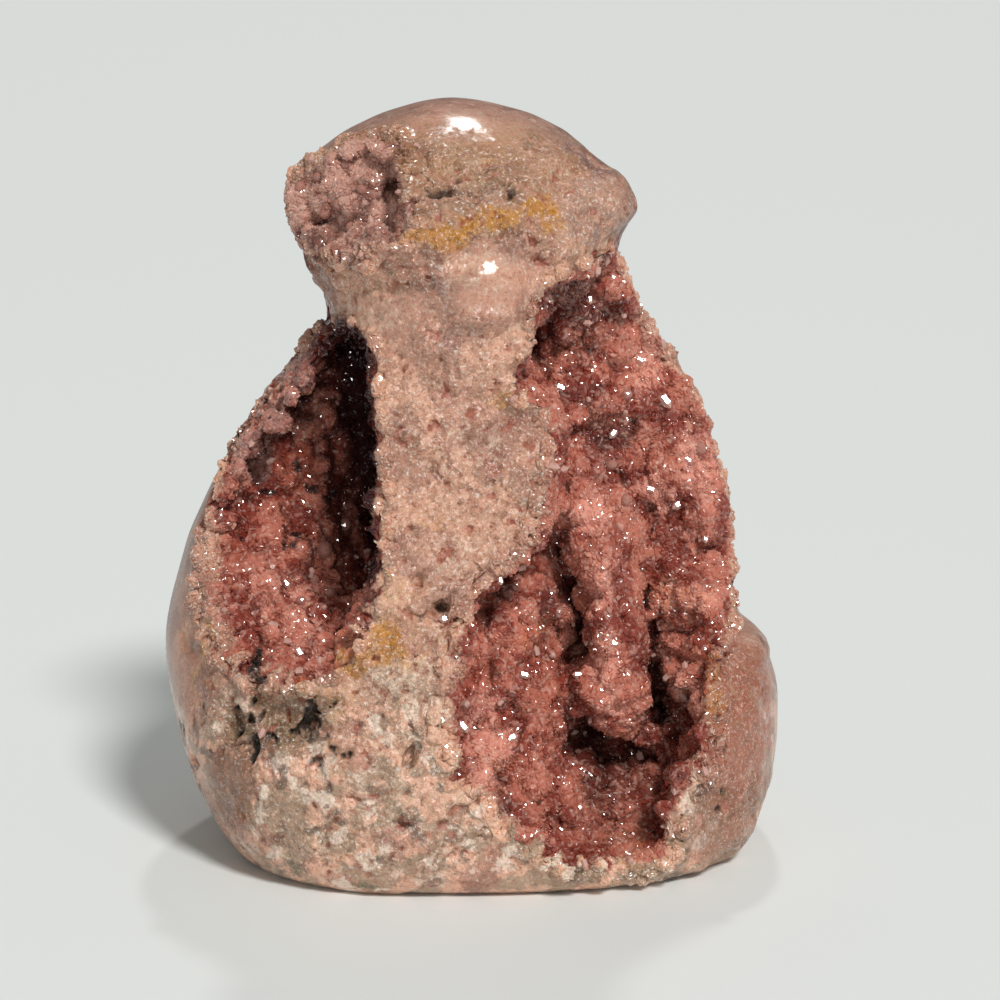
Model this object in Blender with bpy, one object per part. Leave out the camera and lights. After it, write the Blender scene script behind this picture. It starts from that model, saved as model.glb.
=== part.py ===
"""Pink amethyst freeform, a standing geode, modelled for Blender 4.5.

A pear-shaped stone, ground and polished outside, with a domed head. Two hollows open its front on
either side of a column, and a shallow pocket opens the head. A crust of quartz crystals lines each
of the three. Metres, +Z up. The origin is the middle of the flat base; the column faces -Y.
"""

import math
import random
from typing import NamedTuple

import bmesh
import bpy
from mathutils import Euler, Matrix, Vector, noise
from mathutils.bvhtree import BVHTree

MM = 0.001

# Driving dimensions, in millimetres.
HEIGHT = 120.0
RING_POINTS = 48
CRUST = 2.4  # depth of the crystal crust on a hollow's wall
RIM_CRUST = 1.3  # and where it thins out to the rim
SEAT = 0.5  # gap between a crust's back and the stone
VOXEL = 1.1  # size of the steps that blended shapes are fused with
FRONT = -42.0  # how far a hollow's space runs out in front of the stone
HAND_GROUND = 0.9  # how far the polished outside wanders from an even curve


class Section(NamedTuple):
    """A level outline of the polished stone: its height, the middle that its reaches are counted
    from, its four reaches as x and y, and how square its corners are (2 is an ellipse)."""

    height: float
    middle: tuple
    left: float
    right: float
    front: float
    back: float
    square: float = 2.2


class Blob(NamedTuple):
    """An ellipsoid: its centre, its three radii and its turn about X, Y and Z in degrees."""

    centre: tuple
    radii: tuple
    turn: tuple = (0.0, 0.0, 0.0)


# The polished outside, from the flat base to the crown of the head.
OUTSIDE = [
    Section(0.0, (-4, -6), -36.0, 41.5, -33.0, 26.0, 2.6),
    Section(1.5, (-4, -6), -38.8, 44.8, -35.4, 28.4, 2.6),
    Section(5.0, (-4, -6), -41.6, 47.0, -36.8, 30.4, 2.6),
    Section(11.0, (-4, -5), -45.0, 48.9, -37.4, 32.6, 2.5),
    Section(18.0, (-4, -4), -47.4, 49.6, -37.3, 34.3, 2.4),
    Section(26.0, (-4, -2), -49.2, 49.5, -36.6, 35.2, 2.3),
    Section(31.0, (-4, -1), -49.8, 47.8, -35.7, 35.4),
    Section(35.0, (-4, 0), -49.8, 44.2, -35.0, 35.3),
    Section(40.0, (-4, 1), -48.8, 42.4, -34.0, 34.9),
    Section(50.0, (-3, 2), -46.0, 42.2, -31.7, 33.4),
    Section(58.0, (-3, 3), -42.4, 40.8, -29.9, 31.6),
    Section(66.0, (-2, 3), -37.8, 39.2, -28.5, 29.9),
    Section(73.0, (-2, 4), -33.0, 35.8, -27.4, 28.4),
    Section(79.5, (-2, 4), -27.0, 31.6, -26.8, 27.0),
    Section(85.0, (-2, 3), -22.6, 27.6, -26.7, 25.8),
    Section(90.0, (-2, 2), -24.0, 25.4, -27.3, 25.0),
    Section(95.0, (-2, 1), -26.4, 23.2, -28.2, 24.2),
    Section(100.0, (-2, 0), -28.4, 24.8, -28.6, 23.4),
    Section(104.4, (-2, 0), -29.2, 25.6, -27.8, 22.4),
    Section(107.6, (-2, 0), -27.6, 23.0, -25.2, 20.8),
    Section(111.0, (-2.5, 0), -24.6, 19.2, -21.2, 18.4),
    Section(114.6, (-3, 0), -19.8, 15.0, -15.9, 14.8, 2.1),
    Section(117.4, (-3.5, 0), -14.0, 9.4, -10.6, 10.4, 2.0),
    Section(119.2, (-4, 0), -8.0, 2.6, -5.4, 5.6, 2.0),
]

# The rim of the left hollow as x and z, and how deep its wall lies as x, z and y.
LEFT_RIM = [
    (-20.4, 84.4), (-18.0, 85.4), (-15.6, 84.0), (-14.6, 82.1), (-15.9, 78.3), (-14.7, 73.3),
    (-13.8, 69.0), (-14.6, 65.0), (-13.9, 62.7), (-14.7, 58.0), (-13.7, 50.6), (-15.3, 46.2),
    (-16.3, 42.2), (-18.1, 39.1), (-22.0, 36.0), (-26.0, 34.2), (-30.5, 33.4), (-35.0, 34.2),
    (-39.0, 37.2), (-41.8, 41.6), (-42.8, 46.8), (-41.4, 53.3), (-38.8, 59.7), (-34.8, 66.4),
    (-30.2, 72.4), (-25.4, 78.4),
]
LEFT_WALL = [
    (-44, 46, -15), (-40, 44, -14), (-35, 42, -12), (-30, 42, -8), (-24, 44, -1), (-18, 46, 5),
    (-44, 54, -9), (-39, 54, -8), (-34, 54, -4.5), (-28, 54, -1), (-22, 55, 6), (-15, 55, 9),
    (-40, 63, -3), (-36, 63, -3), (-30, 64, 1), (-24, 65, 6), (-17, 65, 10),
    (-34, 73, 1), (-30, 74, 1), (-25, 75, 6), (-19, 77, 11), (-14, 80, 12), (-22, 85, 6),
    (-40, 38, -19), (-36, 37, -19), (-31, 37, -17), (-27, 39, -12), (-22, 40, -8),
    (-37, 33, -24), (-32, 32, -27), (-26, 33, -26), (-18, 38, -14),
]
# Lumps that stand off a hollow's wall: x, z, radius and rise.
LEFT_LUMPS = [
    (-25.5, 50.5, 3.4, 3.0), (-30.0, 47.5, 3.6, 2.2), (-28.6, 43.0, 3.0, 2.6),
    (-33.0, 38.6, 4.4, 2.4), (-27.6, 38.2, 3.2, 2.6), (-38.0, 43.5, 4.2, 1.8),
    (-35.0, 50.0, 3.6, 1.6), (-38.0, 56.0, 3.4, 1.8), (-31.0, 58.5, 3.6, 2.2),
    (-28.0, 66.0, 4.2, 2.0), (-33.0, 68.0, 3.4, 1.6), (-24.0, 59.0, 3.4, 2.0),
    (-22.6, 45.6, 2.8, 2.0), (-37.5, 36.5, 3.0, 1.6), (-33.0, 62.0, 2.8, 1.8),
]
# What runs back behind the column.
LEFT_UNDERCUT = [
    Blob((-15.0, -1.0, 60.0), (8.6, 12.0, 24.0)),
    Blob((-18.0, -4.0, 47.0), (5.5, 11.0, 9.0)),
]

# The rim of the right hollow. Its upper right runs out past the stone's side.
RIGHT_RIM = [
    (18.0, 94.6), (12.6, 93.0), (10.8, 91.0), (11.4, 88.1), (9.0, 84.4), (8.8, 80.3),
    (6.2, 77.9), (9.1, 77.1), (12.1, 76.2), (12.7, 73.0), (14.1, 69.2), (14.1, 66.9),
    (12.6, 65.5), (12.4, 60.7), (12.2, 57.9), (10.8, 55.4), (7.6, 53.5), (4.4, 50.6),
    (1.6, 48.0), (-0.6, 44.0), (-1.8, 39.6), (-1.2, 36.0), (-2.8, 33.0), (-3.2, 28.4),
    (-2.4, 24.6), (-2.6, 22.0), (0.0, 18.8), (2.0, 17.6), (4.5, 15.4), (6.4, 12.4),
    (9.9, 10.0), (12.2, 7.8), (15.6, 6.8), (18.6, 5.4), (21.8, 5.2), (26.6, 4.4),
    (30.2, 6.6), (30.4, 10.4), (31.0, 13.6), (34.0, 16.6), (35.9, 20.4), (36.6, 24.6),
    (36.2, 29.2), (37.4, 33.4), (39.0, 36.4), (42.4, 37.2),
    (46.0, 38.4), (60.0, 40.0), (60.0, 80.0), (36.0, 98.0), (27.0, 96.6),
]
RIGHT_WALL = [
    (12, 94, -15), (16, 90, -9), (22, 93, -5), (26, 88, -1), (34, 92, 2),
    (11, 84, -12), (17, 84, -4), (23, 84, -1), (29, 81, 2), (36, 82, 4),
    (9, 77, -15), (14, 76, -7), (20, 76, -3), (26, 75, 0), (32, 74, 2.5), (42, 74, 5),
    (14, 69, -7), (20, 69, -2), (27, 68, 0.5), (34, 67, 3), (44, 66, 5),
    (14, 61, -6), (20, 61, -2), (26, 61, 0), (33, 60, 0), (39, 60, 3), (48, 58, 5),
    (9, 52, -7), (15, 50, -3), (29, 54, 0), (35, 54, -4), (41, 54, 2), (50, 50, 5),
    (27, 47, -1), (31, 45, -4), (37, 46.5, -3), (43, 47, 0), (29, 36, -3),
    (33, 36.5, -6), (31, 30, -3), (37, 31, -15), (39, 36, -18), (46, 39, -5), (56, 39, -3),
    (4, 48, -10), (4, 43, -17), (8, 42, -10), (13, 43, -5), (16, 38, -2), (19, 42, -1),
    (2, 36, -23), (7, 36, -15), (12, 34, -8), (17, 31, -2),
    (-1, 29, -28), (4, 28, -20), (10, 27, -13), (16, 25, -4), (19, 30, 0),
    (-2, 22, -30), (4, 22, -23), (10, 21, -16), (16, 17, -6), (21, 21, 3), (27, 22, 2),
    (3, 14, -28), (8, 14, -20), (14, 11, -14), (21, 14, 0), (27, 15, 3), (32, 20, -3),
    (9, 8, -28), (15, 6, -22), (22, 7, -12), (27, 9, -5), (31, 13, -11), (20, 3.0, -29),
    (28, 5, -24), (34, 8, -28), (36, 24, -15),
]
RIGHT_LUMPS = [
    (20.0, 79.5, 4.0, 3.2), (24.5, 73.0, 3.8, 3.2), (17.5, 72.0, 3.6, 3.4),
    (31.0, 78.0, 4.0, 2.4), (29.0, 69.5, 4.0, 3.0), (35.5, 70.0, 4.0, 2.6),
    (24.0, 65.0, 3.6, 3.2), (33.0, 63.5, 4.2, 3.4), (38.5, 62.0, 3.6, 2.8),
    (29.5, 57.5, 4.4, 3.6), (31.5, 51.0, 3.8, 3.0), (40.6, 53.0, 3.4, 3.0),
    (25.0, 87.5, 3.4, 2.2), (17.5, 87.5, 3.4, 3.2), (21.0, 85.0, 2.8, 2.4),
    (28.6, 83.0, 3.2, 2.4), (27.5, 64.0, 2.8, 2.6), (30.0, 74.0, 2.8, 2.4),
    (29.6, 47.5, 2.8, 2.4), (43.0, 56.0, 3.2, 2.4),
]
# What stands in the hollow away from its wall: x, z, radius and the y of its front.
RIGHT_STANDING = [
    # The pillar that hangs down the middle, from its root to its rounded foot.
    (15.5, 62.5, 5.0, -10.5), (17.5, 57.5, 5.6, -14.0), (20.0, 53.0, 5.8, -16.5),
    (20.8, 48.0, 5.4, -18.0), (22.0, 43.0, 4.6, -19.0), (23.2, 38.0, 3.8, -19.5),
    (23.6, 33.5, 3.4, -20.0), (22.8, 29.4, 4.0, -21.0), (21.0, 25.8, 4.3, -21.5),
    (24.6, 24.8, 3.8, -20.5),
    # The ledge, and the blade and the lumps under it.
    (35.6, 54.0, 5.6, -9.5), (31.0, 43.4, 3.6, -9.5), (34.8, 42.4, 4.2, -12.5),
    (38.8, 41.2, 4.0, -10.5), (34.0, 32.4, 2.9, -13.5), (34.6, 28.4, 2.7, -14.0),
    (29.0, 38.0, 2.8, -8.0), (28.6, 31.6, 2.6, -6.5),
    # The bank on the column's side.
    (9.8, 43.5, 3.8, -15.5), (4.6, 41.6, 3.2, -21.5), (13.6, 38.6, 3.0, -13.5),
    (8.0, 37.0, 4.0, -20.5), (2.4, 36.0, 3.2, -26.0), (11.6, 31.6, 3.2, -18.5),
    (5.0, 30.8, 4.0, -26.5), (-0.4, 29.4, 2.8, -30.5), (13.8, 26.2, 3.0, -16.5),
    (9.4, 25.6, 3.2, -23.5), (1.2, 25.2, 3.0, -30.0), (7.6, 20.2, 4.6, -28.0),
    (2.2, 20.8, 2.6, -31.5), (13.4, 20.6, 2.8, -19.0), (11.8, 14.6, 3.6, -24.5),
    (7.6, 13.8, 2.6, -29.5), (14.2, 9.6, 2.8, -26.5), (17.8, 11.6, 2.6, -20.0),
    (18.6, 7.4, 2.6, -26.0),
    # The floor of the deep foot.
    (22.5, 12.5, 3.0, -7.0), (27.8, 18.6, 3.2, -13.0), (31.4, 18.2, 2.8, -15.0),
    (23.6, 8.4, 3.2, -19.5), (27.6, 10.6, 2.6, -14.5), (26.0, 6.4, 2.6, -25.0),
]
RIGHT_UNDERCUT = [
    Blob((24.5, -2.0, 20.0), (9.0, 7.0, 9.0)),
    Blob((6.5, -15.0, 48.0), (6.5, 8.0, 4.0), (0, -38, 0)),
    Blob((10.5, -11.0, 82.0), (5.5, 7.0, 9.0)),
]

# The shallow pocket on the left of the head.
HEAD_RIM = [
    (-38.0, 106.0), (-27.4, 109.4), (-22.0, 112.6), (-16.6, 114.2), (-12.0, 113.6),
    (-9.4, 109.6), (-8.8, 104.6), (-10.4, 101.0), (-14.6, 98.8), (-20.0, 97.4),
    (-26.0, 96.6), (-38.0, 96.4),
]
HEAD_WALL = [
    (-30, 107, -1), (-25, 109, -6), (-20, 112, -9), (-14, 113, -10), (-10, 111, -13),
    (-29, 102, -4), (-25, 102, -10), (-21, 104, -12), (-16, 106, -13), (-11, 104, -16),
    (-34, 98, -2), (-29, 98, -7), (-24, 98, -13), (-20, 99, -16), (-15, 99, -21),
    (-18, 109, -10),
]
HEAD_LUMPS = [
    (-25.2, 105.6, 3.2, 2.6), (-20.4, 106.4, 3.6, 3.4), (-21.6, 110.6, 2.8, 2.0),
    (-15.6, 109.6, 3.0, 2.4), (-14.0, 104.0, 3.0, 2.8), (-26.0, 99.6, 2.8, 2.4),
    (-18.6, 102.0, 2.6, 1.8),
]
HEAD_UNDERCUT = [
    Blob((-20.6, -12.0, 101.8), (4.6, 7.0, 1.7)),
    Blob((-10.4, -15.0, 106.0), (1.9, 6.0, 3.6)),
]
# Pits, cracks and chips in the polished outside.
PITS = [
    Blob((-8.8, -37.4, 23.2), (1.1, 4.4, 2.8), (0, 22, 0)),
    Blob((-4.2, -34.0, 45.2), (2.6, 3.4, 1.9), (0, -20, 0)),
    Blob((-7.6, -32.4, 49.8), (1.5, 2.4, 1.9)),
    Blob((-12.0, -27.6, 82.2), (3.4, 3.0, 0.7), (0, -6, 0)),
    Blob((-46.0, -11.0, 47.4), (1.7, 2.8, 1.7)),
    Blob((-30.4, -31.6, 28.4), (5.6, 2.0, 2.3), (0, -14, -20)),
    Blob((-36.8, -27.2, 25.8), (2.8, 2.2, 3.2), (0, 20, -34)),
    Blob((-23.4, -34.4, 26.8), (3.4, 1.9, 2.0), (0, 12, -8)),
    Blob((41.4, -27.0, 1.2), (5.4, 7.0, 2.6), (0, -14, 24)),
    Blob((37.6, -29.4, 14.4), (1.6, 2.2, 1.8)),
]


def clear_scene():
    for obj in list(bpy.data.objects):
        bpy.data.objects.remove(obj)


def solid(name, bm):
    """A new object that holds the bmesh."""
    mesh = bpy.data.meshes.new(name)
    bm.to_mesh(mesh)
    bm.free()
    obj = bpy.data.objects.new(name, mesh)
    bpy.context.scene.collection.objects.link(obj)
    return obj


def apply_modifiers(obj):
    """Swaps the object's mesh for the one that its modifiers make."""
    bpy.context.view_layer.update()
    graph = bpy.context.evaluated_depsgraph_get()
    mesh = bpy.data.meshes.new_from_object(obj.evaluated_get(graph))
    obj.modifiers.clear()
    obj.data = mesh
    return obj


def discard(*objects):
    for obj in objects:
        bpy.data.objects.remove(obj)


def copy_of(obj, name):
    twin = bpy.data.objects.new(name, obj.data.copy())
    bpy.context.scene.collection.objects.link(twin)
    return twin


def outline_point(section, angle):
    """The point of a level outline at an angle, with its corners filled as section.square says."""
    cos, sin = math.cos(angle), math.sin(angle)
    power = 2 / section.square
    across = (section.right if cos > 0 else section.left) - section.middle[0]
    along = (section.back if sin > 0 else section.front) - section.middle[1]
    out = Vector((
        abs(cos) ** power * abs(across) * math.copysign(1, cos),
        abs(sin) ** power * abs(along) * math.copysign(1, sin),
        0.0,
    ))
    point = Vector((*section.middle, section.height)) + out
    wander = noise.noise(point * 0.045 + Vector((3.1, 7.7, 0.0)))
    return point + out.normalized() * wander * HAND_GROUND * min(1.0, out.length / 20)


def polished_outside(name):
    """The whole freeform before its hollows: a ring for each section, bridged into one skin."""
    bm = bmesh.new()
    edges = []
    for section in OUTSIDE:
        ring = bmesh.ops.create_circle(bm, segments=RING_POINTS, radius=1.0)["verts"]
        for corner, vert in enumerate(ring):
            vert.co = outline_point(section, math.tau * corner / RING_POINTS) * MM
        edges.append(list({edge for vert in ring for edge in vert.link_edges}))
    for lower, upper in zip(edges, edges[1:]):
        bmesh.ops.bridge_loops(bm, edges=lower + upper)
    bmesh.ops.contextual_create(bm, geom=edges[0])
    crown = bmesh.ops.contextual_create(bm, geom=edges[-1])["faces"]
    for vert in bmesh.ops.poke(bm, faces=crown)["verts"]:
        vert.co.z = HEIGHT * MM
    bmesh.ops.recalc_face_normals(bm, faces=bm.faces)
    return solid(name, bm)


def wall_depth(x, z, wall, lumps, standing):
    """How far back a hollow's wall lies at x and z: a soft blend of the nearest given depths,
    brought forward where a lump swells from it or where something stands before it."""
    total, weight = 0.0, 0.0
    for spot_x, spot_z, depth in wall:
        near = math.exp(-((x - spot_x) ** 2 + (z - spot_z) ** 2) / 14.0) + 1e-30
        total += depth * near
        weight += near
    rise = 0.0
    for lump_x, lump_z, radius, height in lumps:
        gap = ((x - lump_x) ** 2 + (z - lump_z) ** 2) / radius**2
        if gap < 1.0:
            rise = max(rise, height * math.sqrt(1.0 - gap))
    depth = total / weight - rise
    for lump_x, lump_z, radius, front in standing:
        gap = ((x - lump_x) ** 2 + (z - lump_z) ** 2) / radius**2
        if gap < 1.0:
            depth = min(depth, front + 1.3 * radius * (1.0 - math.sqrt(1.0 - gap)))
    return depth


def hollow_space(name, rim, wall, lumps, undercut, standing=()):
    """The open space of a hollow: all that lies inside its rim and in front of its wall, and
    what is cut away behind the edges of the rim."""
    low_x, high_x = min(x for x, z in rim) - 3, max(x for x, z in rim) + 3
    low_z, high_z = min(z for x, z in rim) - 3, max(z for x, z in rim) + 3
    bm = bmesh.new()
    place = Matrix.LocRotScale(
        Vector(((low_x + high_x) / 2, 0.0, (low_z + high_z) / 2)) * MM,
        Euler((math.radians(90), 0.0, 0.0)),
        Vector(((high_x - low_x) / 2, (high_z - low_z) / 2, 1.0)) * MM,
    )
    columns, rows = round((high_x - low_x) / 1.3), round((high_z - low_z) / 1.3)
    bmesh.ops.create_grid(bm, x_segments=columns, y_segments=rows, size=1.0, matrix=place)
    sheet = list(bm.verts)
    front = bmesh.ops.extrude_face_region(bm, geom=bm.faces[:], use_keep_orig=True)["geom"]
    for vert in front:
        if isinstance(vert, bmesh.types.BMVert):
            vert.co.y = FRONT * MM
    for vert in sheet:
        vert.co.y = wall_depth(vert.co.x / MM, vert.co.z / MM, wall, lumps, standing) * MM
    bmesh.ops.recalc_face_normals(bm, faces=bm.faces)
    space = solid(name, bm)
    mouth = mouth_prism("mouth", rim)
    combine(space, mouth, "INTERSECT")
    discard(mouth)
    bm = bmesh.new()
    bm.from_mesh(space.data)
    for blob in undercut:
        add_blob(bm, blob)
    bm.to_mesh(space.data)
    bm.free()
    return fuse(space, VOXEL)


def mouth_prism(name, rim):
    """A prism that runs from front to back through a rim."""
    bm = bmesh.new()
    corners = [bm.verts.new(Vector((x, FRONT - 2, z)) * MM) for x, z in rim]
    face = bm.faces.new(corners)
    swept = bmesh.ops.extrude_face_region(bm, geom=[face], use_keep_orig=True)["geom"]
    moved = [part for part in swept if isinstance(part, bmesh.types.BMVert)]
    bmesh.ops.translate(bm, verts=moved, vec=(0.0, (60 - FRONT) * MM, 0.0))
    bmesh.ops.recalc_face_normals(bm, faces=bm.faces)
    return solid(name, bm)


def add_blob(bm, blob, fineness=4):
    place = Matrix.LocRotScale(
        Vector(blob.centre) * MM,
        Euler([math.radians(turn) for turn in blob.turn]),
        Vector(blob.radii) * MM,
    )
    bmesh.ops.create_icosphere(bm, subdivisions=fineness, radius=1.0, matrix=place)


def fuse(obj, voxel, rounds=2):
    """Remeshes the object into one even skin, and relaxes the steps that the voxels leave."""
    remesh = obj.modifiers.new("fuse", "REMESH")
    remesh.mode = "VOXEL"
    remesh.voxel_size = voxel * MM
    relax = obj.modifiers.new("relax", "SMOOTH")
    relax.factor = 0.5
    relax.iterations = rounds
    return apply_modifiers(obj)


def combine(obj, other, operation):
    cut = obj.modifiers.new(operation.lower(), "BOOLEAN")
    cut.operation = operation
    cut.solver = "EXACT"
    cut.object = other
    return apply_modifiers(obj)


def thin_out(obj, faces):
    """Reduces the object to about so many triangles."""
    bm = bmesh.new()
    bm.from_mesh(obj.data)
    bmesh.ops.triangulate(bm, faces=bm.faces)
    count = len(bm.faces)
    bm.to_mesh(obj.data)
    bm.free()
    thin = obj.modifiers.new("thin", "DECIMATE")
    thin.ratio = min(1.0, faces / count)
    return apply_modifiers(obj)


def swell(obj, distance):
    """Moves the object's skin outwards by so many millimetres; less than none moves it in."""
    bm = bmesh.new()
    bm.from_mesh(obj.data)
    bm.normal_update()
    steps = [vert.normal * vert.calc_shell_factor() * distance * MM for vert in bm.verts]
    for vert, step in zip(bm.verts, steps):
        vert.co += step
    bm.to_mesh(obj.data)
    bm.free()
    return obj


def roughen(obj, depth, size):
    """Pushes the object's skin in and out by so many millimetres in lumps of a size."""
    bm = bmesh.new()
    bm.from_mesh(obj.data)
    bm.normal_update()
    steps = [vert.normal * noise.noise(vert.co / (size * MM)) for vert in bm.verts]
    for vert, step in zip(bm.verts, steps):
        vert.co += step * depth * MM
    bm.to_mesh(obj.data)
    bm.free()
    return obj


def keep_largest(obj):
    """Drops the crumbs that a cut left beside the object's main body."""
    bm = bmesh.new()
    bm.from_mesh(obj.data)
    left, bodies = set(bm.faces), []
    while left:
        body, edge_of = set(), [next(iter(left))]
        while edge_of:
            face = edge_of.pop()
            if face not in body:
                body.add(face)
                edge_of.extend(near for edge in face.edges for near in edge.link_faces)
        bodies.append(body)
        left -= body
    crumbs = set(bm.faces) - max(bodies, key=len)
    bmesh.ops.delete(bm, geom=list(crumbs), context="FACES")
    bm.to_mesh(obj.data)
    bm.free()
    return obj


def centre(objects, outside):
    """Moves the objects so that the middle of the outside's box stands over the origin."""
    points = [vert.co for vert in outside.data.vertices]
    shift = Vector((0.0, 0.0, 0.0))
    for axis in (0, 1):
        values = [point[axis] for point in points]
        shift[axis] = -(min(values) + max(values)) / 2
    for obj in objects:
        obj.data.transform(Matrix.Translation(shift))


def around(vert):
    """The faces that meet at a point, in turn."""
    first = loop = vert.link_loops[0]
    while True:
        yield loop.face
        loop = loop.link_loop_prev.link_loop_radial_next
        if loop is first:
            return


def crossing(bm):
    """The points of faces that pass through other faces of the same skin."""
    bm.faces.ensure_lookup_table()
    found = set()
    tree = BVHTree.FromBMesh(bm)
    for one, two in tree.overlap(tree):
        first, second = bm.faces[one], bm.faces[two]
        if not set(first.verts) & set(second.verts):
            found.update(first.verts)
    return found


def grow_crystals(obj, seed, height=(0.4, 0.85), lean=0.28):
    """Turns a skin of triangles into crystals: a flat-sided point on the cell round each corner.
    The points stand inwards, into the hollow's space."""
    pick = random.Random(seed)
    skin = bmesh.new()
    skin.from_mesh(obj.data)
    bmesh.ops.triangulate(skin, faces=skin.faces)
    bm = bmesh.new()
    middles = {face: bm.verts.new(face.calc_center_median()) for face in skin.faces}
    for vert in skin.verts:
        bm.faces.new([middles[face] for face in around(vert)])
    skin.free()
    bmesh.ops.recalc_face_normals(bm, faces=bm.faces)
    points = bmesh.ops.poke(bm, faces=bm.faces)["verts"]
    bm.normal_update()
    tree = BVHTree.FromBMesh(bm)
    moves = []
    for point in points:
        reach = sum(edge.calc_length() for edge in point.link_edges) / len(point.link_edges)
        across = Vector((pick.gauss(0, 1), pick.gauss(0, 1), pick.gauss(0, 1))) * lean
        way = (across - point.normal * pick.uniform(*height)) * min(reach, 2.6 * MM)
        room = tree.ray_cast(point.co - point.normal * 0.05 * MM, way)[3] or 1.0
        moves.append(way * min(1.0, 0.3 * room / way.length))
    for point, move in zip(points, moves):
        point.co += move
    for _ in range(6):
        for vert in crossing(bm):
            ring = [edge.other_vert(vert).co for edge in vert.link_edges]
            vert.co = vert.co.lerp(sum(ring, Vector()) / len(ring), 0.5)
    bm.to_mesh(obj.data)
    bm.free()
    return obj


def paint(obj, name, colour, roughness, see_through=0.0):
    """Gives the object a plain material of its own."""
    material = bpy.data.materials.new(name)
    material.use_nodes = True
    shader = material.node_tree.nodes["Principled BSDF"]
    shader.inputs["Base Color"].default_value = (*colour, 1.0)
    shader.inputs["Roughness"].default_value = roughness
    shader.inputs["IOR"].default_value = 1.55
    shader.inputs["Transmission Weight"].default_value = see_through
    material.diffuse_color = (*colour, 1.0)
    obj.data.materials.clear()
    obj.data.materials.append(material)


def pit_outside(stone):
    """Opens the small pits, cracks and chips in the stone's outside."""
    for blob in PITS:
        bm = bmesh.new()
        add_blob(bm, blob, 2)
        pit = roughen(solid("pit", bm), 0.8, 1.7)
        combine(stone, pit, "DIFFERENCE")
        discard(pit)


def seat_for(space, outside):
    """The room that a crust fills: the space swollen by the crust's depth. It swells less near
    the outside, so that the crust thins out to the rim."""
    skin = bmesh.new()
    skin.from_mesh(outside.data)
    tree = BVHTree.FromBMesh(skin)
    room = copy_of(space, "seat")
    bm = bmesh.new()
    bm.from_mesh(room.data)
    bm.normal_update()
    steps = []
    for vert in bm.verts:
        near, normal, _, _ = tree.find_nearest(vert.co)
        inside = (near - vert.co).dot(normal) / MM
        share = min(1.0, max(0.0, inside / 4.0))
        steps.append(vert.normal * (RIM_CRUST + (CRUST - RIM_CRUST) * share) * MM)
    for vert, step in zip(bm.verts, steps):
        vert.co += step
    bm.to_mesh(room.data)
    bm.free()
    skin.free()
    return fuse(room, 1.6)


def line_hollow(name, stone, outside, space, crystals, seed):
    """Cuts a hollow into the stone and lines it with a crust. The stone is cut back by the
    crust's depth, and the crust's crystals face the space."""
    room = thin_out(seat_for(space, outside), crystals * 1.1)
    combine(stone, room, "DIFFERENCE")
    crust = swell(copy_of(room, name), -SEAT)
    combine(crust, outside, "INTERSECT")
    roughen(space, 1.6, 4.0)
    thin_out(space, crystals * 2)
    grow_crystals(space, seed)
    combine(crust, space, "DIFFERENCE")
    discard(room, space)
    return keep_largest(crust)


def main():
    clear_scene()
    outside = polished_outside("outside")
    stone = copy_of(outside, "polished_stone")
    left = hollow_space("left_space", LEFT_RIM, LEFT_WALL, LEFT_LUMPS, LEFT_UNDERCUT)
    right = hollow_space(
        "right_space", RIGHT_RIM, RIGHT_WALL, RIGHT_LUMPS, RIGHT_UNDERCUT, RIGHT_STANDING
    )
    head = hollow_space("head_space", HEAD_RIM, HEAD_WALL, HEAD_LUMPS, HEAD_UNDERCUT)
    left_crust = line_hollow("left_hollow_crystals", stone, outside, left, 345, 1)
    right_crust = line_hollow("right_hollow_crystals", stone, outside, right, 610, 2)
    head_crust = line_hollow("head_pocket_crystals", stone, outside, head, 120, 3)
    pit_outside(stone)
    centre((stone, left_crust, right_crust, head_crust), outside)
    discard(outside)
    paint(stone, "polished rose stone", (0.50, 0.29, 0.24), 0.16)
    paint(left_crust, "salmon quartz crust", (0.46, 0.20, 0.16), 0.22, 0.1)
    paint(right_crust, "red-brown quartz crust", (0.42, 0.17, 0.13), 0.22, 0.1)
    paint(head_crust, "dusky quartz crust", (0.44, 0.24, 0.21), 0.22, 0.1)


main()
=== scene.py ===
# %% [markdown]
# # A pink amethyst freeform
#
# A geode begins as a bubble in rock. Hot water leaves a lining of quartz in it, and iron dyes the
# quartz from salmon to brick red. A freeform is such a geode, ground and polished to stand on a
# shelf. The CAD model gives its shape and size: the stone itself, and a crust of crystals in each
# of its three hollows. This lesson keeps those shapes and gives them what a real stone has:
# thousands of small crystals, edges where the grinder cut through them, and the colours of the
# minerals.

# %% The CAD model as a frame
import random

import bmesh
import bpy
import numpy as np
from mathutils import Matrix, Vector, noise
from mathutils.bvhtree import BVHTree
from mathutils.kdtree import KDTree


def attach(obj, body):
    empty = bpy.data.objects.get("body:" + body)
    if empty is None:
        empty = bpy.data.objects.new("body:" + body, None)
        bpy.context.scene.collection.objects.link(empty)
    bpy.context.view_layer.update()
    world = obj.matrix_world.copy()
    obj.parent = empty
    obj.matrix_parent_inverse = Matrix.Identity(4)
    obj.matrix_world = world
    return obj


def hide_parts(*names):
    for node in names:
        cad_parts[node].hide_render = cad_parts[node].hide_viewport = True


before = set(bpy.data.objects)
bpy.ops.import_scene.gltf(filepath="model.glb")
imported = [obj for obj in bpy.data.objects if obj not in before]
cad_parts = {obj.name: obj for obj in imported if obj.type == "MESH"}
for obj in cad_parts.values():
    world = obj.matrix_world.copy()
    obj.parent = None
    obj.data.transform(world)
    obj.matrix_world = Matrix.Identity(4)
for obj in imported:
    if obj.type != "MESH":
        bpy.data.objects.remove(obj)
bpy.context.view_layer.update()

MM = 0.001
CRUST_NODES = ("left_hollow_crystals", "right_hollow_crystals", "head_pocket_crystals")

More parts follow.
